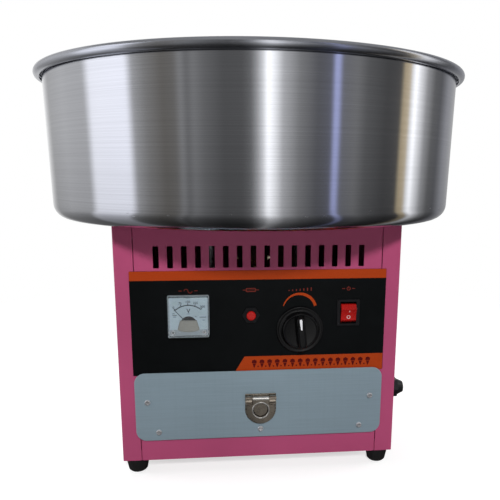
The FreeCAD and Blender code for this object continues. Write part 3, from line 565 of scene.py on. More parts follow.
materials = {
    "pink_paint": makePowderCoat(),
    "bowl_steel": makeBowlSteel(),
    "drawer_steel": makeDrawerSteel(),
    "tray_steel": makeSheetSteel("trayStainless", (0.56, 0.57, 0.58, 1), (700, 9, 9), (0.24, 0.4)),
    "zinc_sheet": makeZincSheet(),
    "core_steel": makeLaminations(),
    "plated_steel": makePlated("brightPlating", (0.80, 0.80, 0.82, 1), (0.26, 0.38), 0.8),
    "nickel": makePlated("warmNickel", (0.43, 0.375, 0.31, 1), (0.22, 0.34), 0.93),
    "cast_alloy": makeCast("castAlloy", (0.52, 0.52, 0.53, 1), (0.42, 0.6), 900.0, 0.12 * mm),
    "spun_alloy": makeSpunAlloy(),
    "ring_brass": makePlated("turnedBrass", (0.72, 0.50, 0.20, 1), (0.18, 0.32)),
    "copper_wire": makeWinding(),
    "heater_sheath": makeCast("heaterSheath", (0.13, 0.12, 0.11, 1), (0.4, 0.6), 700.0, 0.08 * mm),
    "clear_cover": makeClearCover(),
    "carbon": makeCast("brushCarbon", (0.04, 0.04, 0.04, 1), (0.5, 0.7), 1200.0, 0.05 * mm),
}
# name, colour, roughness, grain, its depth in millimetres, then clear coat and shine
mouldings = {
    "black_film": ("blackPanelFilm", (11, 13, 14), (0.34, 0.44), 1500.0, 0.03, 0.0, 0.1),
    "black_plastic": ("blackHousingPlastic", (20, 20, 22), (0.42, 0.56), 1100.0, 0.05, 0.0, 0.3),
    "black_nylon": ("blackNylon", (27, 28, 30), (0.3, 0.44), 800.0, 0.05),
    "black_bakelite": ("blackKnobBakelite", (11, 11, 12), (0.2, 0.3), 700.0, 0.02, 0.1, 0.3),
    "brown_bakelite": ("brownBakelite", (112, 74, 48), (0.35, 0.5), 500.0, 0.05),
    "black_rubber": ("blackFootRubber", (28, 27, 27), (0.62, 0.82), 600.0, 0.1),
    "white_scale": ("paleDialPlate", (158, 173, 182), (0.45, 0.55), 800.0, 0.01),
    "tan_plastic": ("tanCoilCover", (122, 119, 112), (0.3, 0.42), 400.0, 0.04, 0.2),
    "white_inlay": ("whiteInlay", (236, 236, 240), (0.3, 0.4), 500.0, 0.02),
    "red_plastic": ("redRockerPlastic", (160, 16, 12), (0.22, 0.32), 500.0, 0.02, 0.1, 0.35),
    "needle_black": ("needleBlack", (36, 44, 58), (0.4, 0.5), 800.0, 0.01),
}
materials.update({slot: makeMoulded(*moulding) for slot, moulding in mouldings.items()})
rimSteel = makeRimSteel()
paintedHighlightNickel = makePlated("paintedHighlightNickel", (0.88, 0.86, 0.82, 1), (0.16, 0.26), 0.86)   # a lighter copy of the nickel for the pull's lip and pin: a painted highlight
meterPale = makeMoulded("paleMeterMoulding", (134, 142, 148), (0.3, 0.42), 700.0, 0.02)
printInk = {
    "orange": paint(164, 58, 14),
    "darkRed": paint(82, 10, 10),
    "labelRed": paint(112, 42, 34),
    "dialBlue": paint(20, 27, 38),
    # painted shade for the ring pull's ear pockets and finger hole
    "grime": paint(20, 18, 16),
    "white": paint(206, 176, 176),
}
inks = {name: makeInk("ink" + name[0].upper() + name[1:], colour) for name, colour in printInk.items()}
print("materials made:", len(materials) + len(inks) + 3)

# bevel widths on the bench-made parts, in millimetres
edgeRadius = {
    "pink_paint": 0.35,
    "drawer_steel": 0.3,
    "plated_steel": 0.2,
    "nickel": 0.35,
    "black_nylon": 0.5,
    "black_rubber": 0.8,
    "black_plastic": 0.3,
    "cast_alloy": 0.5,
    "spun_alloy": 0.35,
    "red_plastic": 0.35,
    "tan_plastic": 0.35,
    "brown_bakelite": 0.4,
    "zinc_sheet": 0.3,
    "tray_steel": 0.25,
}
for nodeName, nodeObject in nodeObjects.items():
    slotName = slotOf[nodeName]
    nodeObject.data.materials.clear()
    nodeObject.data.materials.append(materials[slotName])
    if slotName in edgeRadius:
        softenEdges(nodeObject, edgeRadius[slotName] * mm)
print("finishes laid on", len(nodeObjects), "nodes")

# the bowl, spun from one sheet
bowl = {
    "sheet": 1.0 * mm,
    "hole": 100.0 * mm,
    "neck": 14.0 * mm,
    "neckBend": 4.0 * mm,
    "bottom": 248.0 * mm,      # outside of the wall at the floor
    "top": 251.0 * mm,         # outside of the wall under the rim
    "corner": 17.0 * mm,
    "bead": 5.0 * mm,
    "curlEnd": -105.0,
    "segments": 256,
    "wallRows": 16,
    "dent": 0.07 * mm,
}


def bowlSide(offset):
    # one skin of the sheet from the neck to the wall's top; offset is its distance inside the outer skin
    floorZ = low("bowl").z + offset
    cornerRadius = bowl["corner"] - offset
    bend = bowl["neckBend"] - offset
    outer = bowl["bottom"] - offset
    skin = [(bowl["hole"] + offset, floorZ + bowl["neck"] - offset)]
    skin += [(bowl["hole"] + offset, floorZ + bowl["neck"] * 0.6)]
    skin += arcPoints(bowl["hole"] + offset + bend, floorZ + bend, bend, 180, 270, 5)
    for k in range(1, 9):
        share = k / 9
        skin.append((bowl["hole"] + bend + share * (outer - cornerRadius - bowl["hole"] - bend), floorZ))
    skin += arcPoints(outer - cornerRadius, floorZ + cornerRadius, cornerRadius, 270, 360, 8)
    rimZ = high("bowl").z - bowl["bead"]
    startZ = floorZ + cornerRadius
    for k in range(1, bowl["wallRows"] + 1):
        share = k / bowl["wallRows"]
        skin.append((outer + share * (bowl["top"] - bowl["bottom"]), startZ + share * (rimZ - startZ)))
    return skin


def bowlWobble(angle, radius, height):
    # the spun wall is never quite round: shallow waves a hand's width apart
    if radius < 0.2:
        return 0.0
    wave = noise.noise(Vector((math.cos(angle) * 5.5, math.sin(angle) * 5.5, height * 9)))
    return bowl["dent"] * wave


def makeBowl():
    outer = bowlSide(0.0)
    inner = bowlSide(bowl["sheet"])
    beadX = high("bowl").x - bowl["bead"]
    beadZ = high("bowl").z - bowl["bead"]
    curlOut = arcPoints(beadX, beadZ, bowl["bead"], 180, bowl["curlEnd"], 20)
    curlIn = arcPoints(beadX, beadZ, bowl["bead"] - bowl["sheet"], bowl["curlEnd"], 180, 20)
    profile = inner[:-1] + curlOut + curlIn + outer[:-1][::-1]
    mesh = lathe("spunBowl", profile, bowl["segments"], wobble=bowlWobble)
    piece = makeObject("spun_bowl", mesh, "bowl", "bowl_steel")
    mesh.materials.append(rimSteel)
    rimLow = beadZ - bowl["bead"] * 0.2
    for polygon in mesh.polygons:
        if polygon.center.z > rimLow or Vector(polygon.center[:2]).length > bowl["top"] + bowl["sheet"]:
            polygon.material_index = 1
    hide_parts("bowl")


makeBowl()
print("bowl spun")

# printed panel
overlayFront = low("control_overlay").y
overlayTop = high("control_overlay").z
overlayHalf = high("control_overlay").x
panelPrint = {
    "inkDeep": 0.08 * mm,
    "stripe": 10.6 * mm,
    "bannerTop": 100.2 * mm,       # drop from the panel's top edge
    "bannerLow": 119.6 * mm,
    "bannerLeft": -30.0 * mm,
    "bannerSlant": 11.8 * mm,
    "borderDrop": 109.0 * mm,
    "borderFrom": -11.5 * mm,
    "borderTo": 130.5 * mm,
    "borderCount": 16,
    "symbolDrop": 22.5 * mm,
    "crescentRadius": 19.8 * mm,
    "crescentRise": 22.8 * mm,     # its centre above the knob's
    "crescentThin": 0.9 * mm,
    "crescentThick": 3.3 * mm,
}


def inkSlab(outline, surface, holes=()):
    # a layer of ink that stands a hair proud of the surface it is printed on
    return extruded("ink", outline, surface - panelPrint["inkDeep"], surface + 0.02 * mm, holes)


def inkPiece(name, slabs, ink, body="cabinet"):
    return makeObject(name, mergeMeshes(name, slabs), body, None, inks[ink])


def bar(x0, z0, x1, z1, width):
    along = Vector((x1 - x0, z1 - z0)).normalized()
    side = Vector((-along.y, along.x)) * width / 2
    return [(x0 + side.x, z0 + side.y), (x0 - side.x, z0 - side.y), (x1 - side.x, z1 - side.y),
            (x1 + side.x, z1 + side.y)]


def ringStroke(x, z, radius, width, start=0, end=359, count=24):
    outer = arcPoints(x, z, radius + width / 2, start, end, count)
    inner = arcPoints(x, z, radius - width / 2, end, start, count)
    return outer + inner


def makeStripes():
    stripeLow = overlayTop - panelPrint["stripe"]
    middleZ = (overlayTop - 0.15 * mm + stripeLow) / 2
    stripe = roundedBox(0, middleZ, 2 * overlayHalf - 0.3 * mm, panelPrint["stripe"] - 0.15 * mm, 0.6 * mm)
    inkPiece("orange_stripe", [inkSlab(stripe, overlayFront)], "orange")
    top = overlayTop - panelPrint["bannerTop"]
    bottom = overlayTop - panelPrint["bannerLow"]
    left = panelPrint["bannerLeft"]
    right = overlayHalf - 0.4 * mm
    banner = [(left, bottom), (right, bottom), (right, top), (left + panelPrint["bannerSlant"], top)]
    inkPiece("orange_banner", [inkSlab(banner, overlayFront)], "orange")


def makeBorder():
    # a running border on the banner: puffs of floss on cones, with a bead between each two
    z = overlayTop - panelPrint["borderDrop"]
    surface = overlayFront - panelPrint["inkDeep"]
    pitch = (panelPrint["borderTo"] - panelPrint["borderFrom"]) / panelPrint["borderCount"]
    slabs = []
    for k in range(panelPrint["borderCount"]):
        x = panelPrint["borderFrom"] + pitch * (k + 0.5)
        puff = []
        for step in range(37):
            # shallow lobes, from one side of the cone over the top to the other
            angle = math.radians(-28 + 236 * step / 36)
            radius = (2.45 + 0.55 * abs(math.sin(3.2 * angle))) * mm
            puff.append((x + radius * math.cos(angle), z + 1.9 * mm + radius * math.sin(angle)))
        mouth, point, coneTop, coneFoot = 2.0 * mm, 0.35 * mm, z + 0.1 * mm, z - 5.0 * mm
        cone = [(x - mouth, coneTop), (x + mouth, coneTop), (x + point, coneFoot), (x - point, coneFoot)]
        slabs += [inkSlab(puff, surface), inkSlab(cone, surface)]
        if k:
            slabs.append(inkSlab(arcPoints(x - pitch / 2, z - 3.4 * mm, 0.9 * mm, 0, 330, 11), surface))
    inkPiece("banner_border", slabs, "darkRed")


def makeCrescent():
    # the heat scale: a stroke that thickens from cool to hot round the top of the knob
    x = middle("temperature_knob").x
    z = middle("temperature_knob").z + panelPrint["crescentRise"]
    radius = panelPrint["crescentRadius"]
    start, end, count = 166, 14, 40
    outer = arcPoints(x, z, radius, start, end, count)
    inner = []
    for k in range(count + 1):
        share = min(1.0, 1.6 * k / count)
        deep = panelPrint["crescentThin"] + share * (panelPrint["crescentThick"] - panelPrint["crescentThin"])
        angle = math.radians(start + (end - start) * k / count)
        inner.append((x + (radius - deep) * math.cos(angle), z + (radius - deep) * math.sin(angle)))
    inkPiece("heat_crescent", [inkSlab(outer + inner[::-1], overlayFront)], "orange")


def makeSymbols():
    # small pictures over each instrument: a wave, a fuse link, rising heat and a power mark
    z = overlayTop - panelPrint["symbolDrop"]
    thin = 0.75 * mm
    outlines = []
    x = middle("voltmeter_housing").x
    outlines.append(ringStroke(x - 2.2 * mm, z - 0.3 * mm, 2.2 * mm, thin, 0, 180, 14))
    outlines.append(ringStroke(x + 2.2 * mm, z - 0.3 * mm, 2.2 * mm, thin, 180, 360, 14))
    for side in (-1, 1):
        outlines.append(bar(x + side * 7 * mm, z, x + side * 10.5 * mm, z, thin))
    x = middle("breaker_button").x
    fuse = inkSlab(roundedBox(x, z, 11 * mm, 4.4 * mm, 0.9 * mm), overlayFront,
                   [roundedBox(x, z, 9.4 * mm, 2.8 * mm, 0.4 * mm)])
    outlines += [bar(x - 4.6 * mm, z, x + 4.6 * mm, z, thin * 0.7), bar(x - 9 * mm, z, x - 5.6 * mm, z, thin),
                 bar(x + 5.6 * mm, z, x + 9 * mm, z, thin)]
    x = middle("temperature_knob").x
    for k in range(7):
        tall = (1.2 + 0.45 * k) * mm
        place = x + (k - 3) * 4.2 * mm
        outlines.append(bar(place, z - 1.9 * mm, place, z - 1.9 * mm + tall, thin * 1.5))
    x = middle("switch_housing").x
    outlines.append(ringStroke(x, z, 1.9 * mm, thin, -240, 60, 18))
    outlines.append(bar(x, z + 0.4 * mm, x, z + 2.8 * mm, thin))
    for side in (-1, 1):
        outlines.append(bar(x + side * 4 * mm, z, x + side * 7.5 * mm, z, thin))
    inkPiece("panel_symbols", [fuse] + [inkSlab(outline, overlayFront) for outline in outlines],
             "labelRed")


makeStripes()
makeBorder()
makeCrescent()
makeSymbols()
print("panel printed")

# voltmeter face
dial = {
    "arc": 21.7 * mm,
    "from": -41.0,                 # degrees from upright
    "to": 39.0,
    "arcWidth": 1.0 * mm,
    "tickLong": 2.2 * mm,
    "smallTick": 1.1 * mm,
    "parts": 4,
    "digits": ("0", "75", "150", "225", "300"),
    "digitSize": 3.6 * mm,
    "digitOut": 3.9 * mm,
    "tickWidth": 0.9 * mm,
    "smallTickWidth": 0.32 * mm,
    "letter": "V",
    "letterSize": 6.6 * mm,
    "letterRise": 15.2 * mm,       # above the pivot
    "underline": (-1.7, 12.0, 3.4),
    "plateMarks": ((-17.6, 12.4, 2.4), (-17.6, 10.6, 4.8), (-16.8, 8.7, 3.2), (12.2, 8.0, 7.6),
                   (15.6, 4.6, 2.2)),      # millimetres across, up and long, from the pivot
    "plateDots": (8.2 * mm, 8.8 * mm, 0.55 * mm),
    "pivotDrop": 9.2 * mm,         # pivot below the meter's centre
    "coverTop": 5.3 * mm,          # coil cover's flat top above the pivot
    "coverLow": 7.8 * mm,
    "coverHalfTop": 9.3 * mm,
    "coverHalfLow": 12.0 * mm,
    "coverDeep": 2.2 * mm,
    "coverBulge": 3.4 * mm,
    "opening": 9.2 * mm,           # round the movement
    "well": (17.2 * mm, 18.3 * mm, 2.5 * mm),      # screw wells: out, down and radius
}


def digitMesh(text, size, x, surface, z):
    curve = bpy.data.curves.new("digits", "FONT")
    curve.body = text
    curve.size = size
    curve.align_x = "CENTER"
    curve.align_y = "CENTER"
    curve.extrude = 0.03 * mm
    curve.offset = 0.018 * size
    curve.resolution_u = 3
    holder = placed("digits", curve)
    mesh = bpy.data.meshes.new_from_object(holder.evaluated_get(bpy.context.evaluated_depsgraph_get()))
    bpy.data.objects.remove(holder)
    return facingFront(mesh, x, surface, z)


def makeDial():
    x = middle("voltmeter_housing").x
    pivotZ = middle("voltmeter_window").z - dial["pivotDrop"]
    surface = low("voltmeter_scale").y
    upright = 90.0
    start = upright - dial["from"]
    end = upright - dial["to"]
    meshes = [inkSlab(ringStroke(x, pivotZ, dial["arc"], dial["arcWidth"], start, end, 40), surface)]
    smallCount = dial["parts"] * 5
    for k in range(smallCount + 1):
        angle = math.radians(start + (end - start) * k / smallCount)
        big = k % 5 == 0
        reach, wide = sizesOf(dial, "tickLong tickWidth" if big else "smallTick smallTickWidth")
        along = Vector((math.cos(angle), math.sin(angle)))
        first = along * dial["arc"]
        last = along * (dial["arc"] + reach)
        meshes.append(inkSlab(bar(x + first.x, pivotZ + first.y, x + last.x, pivotZ + last.y, wide), surface))
        if big:
            place = along * (dial["arc"] + dial["digitOut"])
            meshes.append(digitMesh(dial["digits"][k // 5], dial["digitSize"], x + place.x * 0.97,
                                    surface - 0.02 * mm, pivotZ + place.y))
    # volt mark, underlined, and the small marks low on the plate
    letter, letterSize, letterRise = sizesOf(dial, "letter letterSize letterRise")
    meshes.append(digitMesh(letter, letterSize, x, surface - 0.02 * mm, pivotZ + letterRise))

    def line(across, up, reach, width):
        z = pivotZ + up * mm
        meshes.append(inkSlab(bar(x + across * mm, z, x + (across + reach) * mm, z, width), surface))

    line(*dial["underline"], 0.4 * mm)
    for mark in dial["plateMarks"]:
        line(*mark, 0.6 * mm)
    out, up, radius = dial["plateDots"]
    for side in (-1, 1):
        meshes.append(inkSlab(arcPoints(x + side * out, pivotZ + up, radius, 0, 330, 11), surface))
    inkPiece("dial_marks", meshes, "dialBlue")


def makeCoilCover():
    x = middle("voltmeter_housing").x
    pivotZ = middle("voltmeter_window").z - dial["pivotDrop"]
    back = low("voltmeter_coil_cover").y + dial["coverDeep"]

    def outlineAt(inset):
        # flat top, sides that lean outward and a foot that bulges down
        top = pivotZ + dial["coverTop"] - inset
        bottom = pivotZ - dial["coverLow"] + inset
        bulge = dial["coverBulge"]
        halfTop = dial["coverHalfTop"] - inset
        halfLow = dial["coverHalfLow"] - inset

        def lean(side, share):
            return (x + side * (halfTop + share * (halfLow - halfTop)), top + share * (bottom + bulge - top))

        points = [(x - halfTop, top), (x - halfTop * 0.3, top), (x + halfTop * 0.3, top), (x + halfTop, top)]
        points += [lean(1, 0.35), lean(1, 0.7)]
        for k in range(13):
            angle = math.pi * k / 12
            points.append((x + halfLow * math.cos(angle), bottom + bulge - bulge * math.sin(angle)))
        return points + [lean(-1, 0.7), lean(-1, 0.35)]

    front = low("voltmeter_coil_cover").y
    levels = [(0, back), (0, front + 0.8 * mm), (0.3 * mm, front + 0.25 * mm), (0.9 * mm, front)]
    mesh = stacked("meter_coil_cover", outlineAt, levels)
    piece = makeObject("meter_coil_cover", mesh, "cabinet", "tan_plastic")
    softenEdges(piece, 0.1 * mm, 1)
    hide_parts("voltmeter_coil_cover")


def makeMeterMask():
    # pale moulded face behind the clear cover, open where the movement shows
    x = middle("voltmeter_housing").x
    z = middle("voltmeter_window").z
    face = low("voltmeter_housing").y
    width = high("voltmeter_window").x - low("voltmeter_window").x
    height = high("voltmeter_window").z - low("voltmeter_window").z
    outline = roundedBox(x, z, width, height, 1.5 * mm)
    opening = arcPoints(x, z - dial["pivotDrop"], dial["opening"], 0, 355, 40)
    out, down, radius = dial["well"]
    wells = [arcPoints(x + side * out, z - down, radius, 0, 345, 20) for side in (-1, 1)]
    mesh = extruded("meter_mask", outline, face - 0.3 * mm, face + 0.01 * mm, [opening, *wells])
    makeObject("meter_mask", mesh, "cabinet", None, meterPale)
    outside = roundedBox(x, z, width + 0.7 * mm, height + 0.7 * mm, 1.8 * mm)
    inside = roundedBox(x, z, width - 0.1 * mm, height - 0.1 * mm, 1.4 * mm)
    rim = extruded("meter_rim", outside, face + 0.1 * mm, overlayFront, [inside])
    piece = makeObject("meter_rim", rim, "cabinet", None, meterPale)
    softenEdges(piece, 0.15 * mm, 2)


makeMeterMask()
makeDial()
makeCoilCover()
print("voltmeter face made")

# heat knob
knob = {
    "skirt": 27.0 * mm,
    "skirtHigh": 3.0 * mm,
    "drum": 21.0 * mm,
    "drumHigh": 9.5 * mm,
    "gripHalf": 18.6 * mm,
    "gripWide": 11.0 * mm,
    "gripHigh": 20.0 * mm,
    "tilt": -6.0,
    "nibHalf": 1.6 * mm,           # raised mark on the skirt
    "nibFrom": 23.0 * mm,
    "nibTo": 25.6 * mm,
    "pointerLong": 12.4 * mm,
    "pointerWide": 3.0 * mm,
    "pointerNarrow": 1.7 * mm,
    "pointerRise": 10.2 * mm,
}


def makeKnob():
    centre = middle("heat_regulator_shaft")
    back = high("temperature_knob").y
    skirt, skirtHigh, drum, drumHigh = sizesOf(knob, "skirt skirtHigh drum drumHigh")
    profile = [(9 * mm, 0), (skirt - 0.6 * mm, 0)]
    profile += arcPoints(skirt - 0.7 * mm, 0.7 * mm, 0.7 * mm, -90, 0, 3)
    profile += arcPoints(skirt - 1.1 * mm, skirtHigh - 1.1 * mm, 1.0 * mm, 0, 90, 5)
    profile += [(skirt - 2.2 * mm, skirtHigh - 0.1 * mm), (skirt - 2.5 * mm, skirtHigh - 0.5 * mm),
                (drum + 1.4 * mm, skirtHigh - 0.5 * mm), (drum + 0.5 * mm, skirtHigh - 0.2 * mm),
                (drum, skirtHigh + 0.5 * mm), (drum - 0.35 * mm, drumHigh * 0.7)]
    profile += arcPoints(drum - 1.9 * mm, drumHigh - 1.2 * mm, 1.2 * mm, 0, 90, 6)
    profile += [(drum - 2.8 * mm, drumHigh - 0.25 * mm), (drum - 3.4 * mm, drumHigh - 0.7 * mm),
                (8 * mm, drumHigh - 1.1 * mm), (0.4 * mm, drumHigh - 1.2 * mm), (0.4 * mm, 2 * mm),
                (9 * mm, 2 * mm)]
    body = facingFront(lathe("knobBody", profile, 160), centre.x, back, centre.z)

    def gripOutline(inset):
        wide = knob["gripWide"] / 2 - inset
        long = knob["gripHalf"] - inset
        points = []
        for k in range(48):
            angle = 2 * math.pi * k / 48
            across = math.cos(angle)
            along = math.sin(angle)
            waist = 1 - 0.10 * math.cos(math.pi * min(1, abs(along)))
            points.append((centre.x + wide * waist * math.copysign(abs(across) ** 0.55, across),
                           centre.z + long * math.copysign(abs(along) ** 0.8, along)))
        return points

    top = back - knob["gripHigh"]
    foot = back - drumHigh + 1.6 * mm
    levels = [(-1.1 * mm, foot), (-0.3 * mm, foot - 1.9 * mm), (0, foot - 3.2 * mm),
              (0.25 * mm, top + 2.6 * mm), (0.6 * mm, top + 1.2 * mm), (1.2 * mm, top + 0.45 * mm),
              (2.1 * mm, top + 0.05 * mm), (3.2 * mm, top)]
    grip = stacked("knobGrip", gripOutline, levels)

    def nibOutline(inset):
        half, foot, tip = sizesOf(knob, "nibHalf nibFrom nibTo")
        return [(centre.x - half + inset, centre.z + foot), (centre.x + half - inset, centre.z + foot),
                (centre.x, centre.z + tip - inset)]

    face = back - skirtHigh
    nib = stacked("knobNib", nibOutline, [(0, face + 0.7 * mm), (0.3 * mm, face - 0.2 * mm)])
    mesh = mergeMeshes("heat_knob", [body, grip, nib])
    turn = turnAbout(centre, knob["tilt"], "Y")
    mesh.transform(turn)
    smooth(mesh)
    piece = makeObject("heat_knob", mesh, "temperature_knob", "black_bakelite")
    piece.modifiers.new("shaded", "WEIGHTED_NORMAL").weight = 60
    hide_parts("temperature_knob")

    def dropOutline(inset):
        # teardrop: broad at its outer end, narrow towards the knob's middle
        sizes = sizesOf(knob, "pointerLong pointerWide pointerNarrow")
        halfLong, broad, narrow = (size / 2 for size in sizes)
        rise = centre.z + knob["pointerRise"]
        upper = arcPoints(centre.x, rise + halfLong - broad, broad - inset, 0, 180, 10)
        lower = arcPoints(centre.x, rise - halfLong + narrow, narrow - inset, 180, 360, 8)
        return upper + lower

    inlayTop = top - 0.3 * mm
    levels = [(0, top + 1.4 * mm), (0, inlayTop + 0.2 * mm), (0.25 * mm, inlayTop)]
    inlay = stacked("pointer_inlay", dropOutline, levels)
    inlay.transform(turn)
    piece = makeObject("pointer_inlay", inlay, "temperature_knob", "white_inlay")
    softenEdges(piece, 0.1 * mm, 1)
    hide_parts("knob_pointer")


makeKnob()
print("knob made")

# rocker switch
rocker = {
    "width": 17.6 * mm,
    "crease": 6.9 * mm,            # ridge above and below the middle
    "creaseOut": 8.0 * mm,         # ridge in front of the pivot
    "dishOut": 6.9 * mm,
    "endHalf": 11.2 * mm,
    "endOut": 3.4 * mm,
    "backOut": -2.4 * mm,
    "pivotBehind": 2.4 * mm,       # pivot behind the panel's face
    "throw": 12.0,
}


def rockerDish(share):
    # how far the face stands in front of the pivot, from the lower ridge (0) to the upper one (1)
    return rocker["creaseOut"] - (rocker["creaseOut"] - rocker["dishOut"]) * math.sin(math.pi * share)


def makeRocker():
    centre = middle("switch_housing")
    pivotY = overlayFront + rocker["pivotBehind"]
    half = rocker["width"] / 2
    crease, creaseOut, endHalf, endOut = sizesOf(rocker, "crease creaseOut endHalf endOut")
    # (distance in front of the pivot, height) round the profile
    side = [(rocker["backOut"], -4 * mm), (endOut - 3 * mm, -endHalf + 0.4 * mm), (endOut, -endHalf),
            (creaseOut, -crease)]
    side += [(rockerDish(k / 8), -crease + 2 * crease * k / 8) for k in range(1, 8)]
    side += [(creaseOut, crease), (endOut, endHalf), (endOut - 3 * mm, endHalf - 0.4 * mm),
             (rocker["backOut"], 4 * mm)]
    verts = []
    for x in (centre.x - half, centre.x + half):
        verts += [(x, pivotY - out, centre.z + up) for out, up in side]
    count = len(side)
    faces = [tuple(range(count)), tuple(range(count, 2 * count)), *wallFaces(count)]
    mesh = fixNormals(meshFrom("rocker", verts, faces))
    turn = turnAbout(Vector((centre.x, pivotY, centre.z)), rocker["throw"], "X")
    mesh.transform(turn)
    piece = makeObject("red_rocker", mesh, "switch_rocker", "red_plastic")
    softenEdges(piece, 0.5 * mm, 3, weld=False, angle=20)
    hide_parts("switch_rocker")
    # the closed and open marks, inlaid in the dished face
    marks = mergeMeshes("rocker_marks", [
        inkSlab(roundedBox(centre.x + 0.8 * mm, centre.z + 4.0 * mm, 0.8 * mm, 2.4 * mm, 0.3 * mm, 3), 0),
        inkSlab(ringStroke(centre.x, centre.z - 3.0 * mm, 1.8 * mm, 0.7 * mm), 0)])
    for vertex in marks.vertices:
        vertex.co.y += pivotY - rockerDish((vertex.co.z - centre.z) / (2 * rocker["crease"]) + 0.5)
    marks.transform(turn)
    makeObject("rocker_marks", marks, "switch_rocker", None, inks["white"])


makeRocker()
print("rocker made")

# ring pull
pull = {
    "half": 18.0 * mm,
    "flapHalf": 16.3 * mm,
    "plateThick": 1.5 * mm,
    "flapThick": 2.2 * mm,
    "earIn": 9.9 * mm,
    "earOut": 17.6 * mm,
    "earThick": 1.2 * mm,
    "earTall": 5.3 * mm,
    "earDeep": 3.9 * mm,
    "earDrop": 1.9 * mm,
    "earOpen": 42,                 # degrees each side of straight ahead left open
    "barrel": 2.1 * mm,
    "barrelBore": 1.62 * mm,
    "notchDrop": 8.3 * mm,
    "tongueDrop": 2.7 * mm,
    "hole": 8.7 * mm,
    "lip": 0.85 * mm,
}


def dOutline(half, lowZ, highZ, inset, corner):
    # straight top, straight sides and a half-round foot
    radius = half - inset
    points = arcPoints(0, lowZ + half, radius, 180, 360, 28)
    points += arcPoints(radius - corner, highZ - inset - corner, corner, 0, 90, 4)
    points += arcPoints(-radius + corner, highZ - inset - corner, corner, 90, 180, 4)
    return points


def makePull():
    plateLow = low("handle_plate")
    plateHigh = high("handle_plate")
    pin = middle("handle_pin")
    half, holeRadius, earIn, earOut = sizesOf(pull, "half hole earIn earOut")
    earDeep, earTall, earThick, earOpen = sizesOf(pull, "earDeep earTall earThick earOpen")
    earZ = pin.z - pull["earDrop"]
    wall = plateHigh.y
    front = wall - pull["plateThick"]
    plate = stacked("pullPlate", lambda inset: dOutline(half, plateLow.z, plateHigh.z, inset, 1.2 * mm),
                    [(0, wall), (0, front + 0.6 * mm), (0.2 * mm, front + 0.2 * mm), (0.6 * mm, front)])
    meshes = [plate]
    # ears: strips curled round the pin and open to the front
    for side in (-1, 1):
        x0, x1 = sorted((side * earIn, side * earOut))
        ring = arcPoints(0, 0, 1, earOpen, 360 - earOpen, 26)
        outline = [(pin.y - c * earDeep, earZ + s * earTall) for c, s in ring]
        outline += [(pin.y - c * (earDeep - earThick), earZ + s * (earTall - earThick))
                    for c, s in reversed(ring)]
        verts = [(x, y, z) for x in (x0, x1) for y, z in outline]
        total = len(outline)
        faces = wallFaces(total)
        for base in (0, total):
            for k in range(total // 2 - 1):
                faces.append((base + k, base + k + 1, base + total - 2 - k, base + total - 1 - k))
        meshes.append(fixNormals(meshFrom("ear", verts, faces)))
    piece = makeObject("pull_plate", mergeMeshes("pull_plate", meshes), "drawer", "nickel")
    softenEdges(piece, 0.25 * mm, 2, weld=False, angle=40)
    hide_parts("handle_plate")
    # painted shade: dark ink behind the pin in both ears and round the inside of the finger hole, where shade
    # falls in the recesses
    holeZ = plateLow.z + half
    shadeSlabs = [inkSlab(ringStroke(0, holeZ, holeRadius - 0.35 * mm, 0.9 * mm, 0, 359, 60), front)]
    for side in (-1, 1):
        pocket = roundedBox(side * (earIn + earOut) / 2, earZ, earOut - earIn - 0.4 * mm,
                            2 * (earTall - earThick), 1.0 * mm)
        shadeSlabs.append(inkSlab(pocket, front))
    inkPiece("pull_painted_shade", shadeSlabs, "grime", body="drawer")

    # flap: notched beside the ears, with a finger hole inside a rolled lip
    back = front - 0.5 * mm
    face = back - pull["flapThick"]
    flapHalf, barrelRadius, boreRadius, lipRadius = sizesOf(pull, "flapHalf barrel barrelBore lip")
    notchZ = pin.z - pull["notchDrop"]
    tongueZ = pin.z - pull["tongueDrop"]
    tongue = earIn - 0.5 * mm
    outline = arcPoints(0, holeZ, flapHalf, 180, 360, 32)
    outline += [(flapHalf, notchZ), (tongue, notchZ), (tongue, tongueZ), (-tongue, tongueZ),
                (-tongue, notchZ), (-flapHalf, notchZ)]
    flap = extruded("pullFlap", outline, face, back, [arcPoints(0, holeZ, holeRadius, 0, 352.5, 47)])
    lipProfile = []
    for k in range(14):
        angle = 2 * math.pi * k / 14
        lipProfile.append((holeRadius + lipRadius * (1 + math.cos(angle)), lipRadius * math.sin(angle) * 0.9))
    lip = facingFront(lathe("pullLip", lipProfile, 72), 0, face, holeZ)
    barrelProfile = [(boreRadius, -tongue), (barrelRadius, -tongue), (barrelRadius, tongue),
                     (boreRadius, tongue)]
    barrel = lathe("pullBarrel", barrelProfile, 36)
    barrel.transform(Matrix.Translation((0, pin.y, pin.z)) @ Matrix.Rotation(math.radians(90), 4, "Y"))
    webTop, webFoot = tongueZ + 0.2 * mm, pin.z - 1.2 * mm
    webOutline = [(-tongue, webTop), (tongue, webTop), (tongue, webFoot), (-tongue, webFoot)]
    web = extruded("pullWeb", webOutline, back - 1.0 * mm, back)
    # the lip and the barrel take the lighter nickel, a painted highlight
    for name, part in (("pull_lip", lip), ("pull_barrel", barrel)):
        part.name = name
        smooth(part)
        piece = makeObject(name, part, "handle_flap", "nickel", paintedHighlightNickel)
        softenEdges(piece, 0.15 * mm, weld=False, angle=40)
    mesh = mergeMeshes("pull_flap", [flap, web])
    smooth(mesh)
    piece = makeObject("pull_flap", mesh, "handle_flap", "nickel")
    softenEdges(piece, 0.35 * mm, weld=False, angle=40)
    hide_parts("handle_flap")


makePull()
print("ring pull made")

# slotted band round the spinner head
band = {
    "slots": 120,
    "slotShare": 0.5,
    "margin": 3.2 * mm,
    "thick": 0.8 * mm,
}


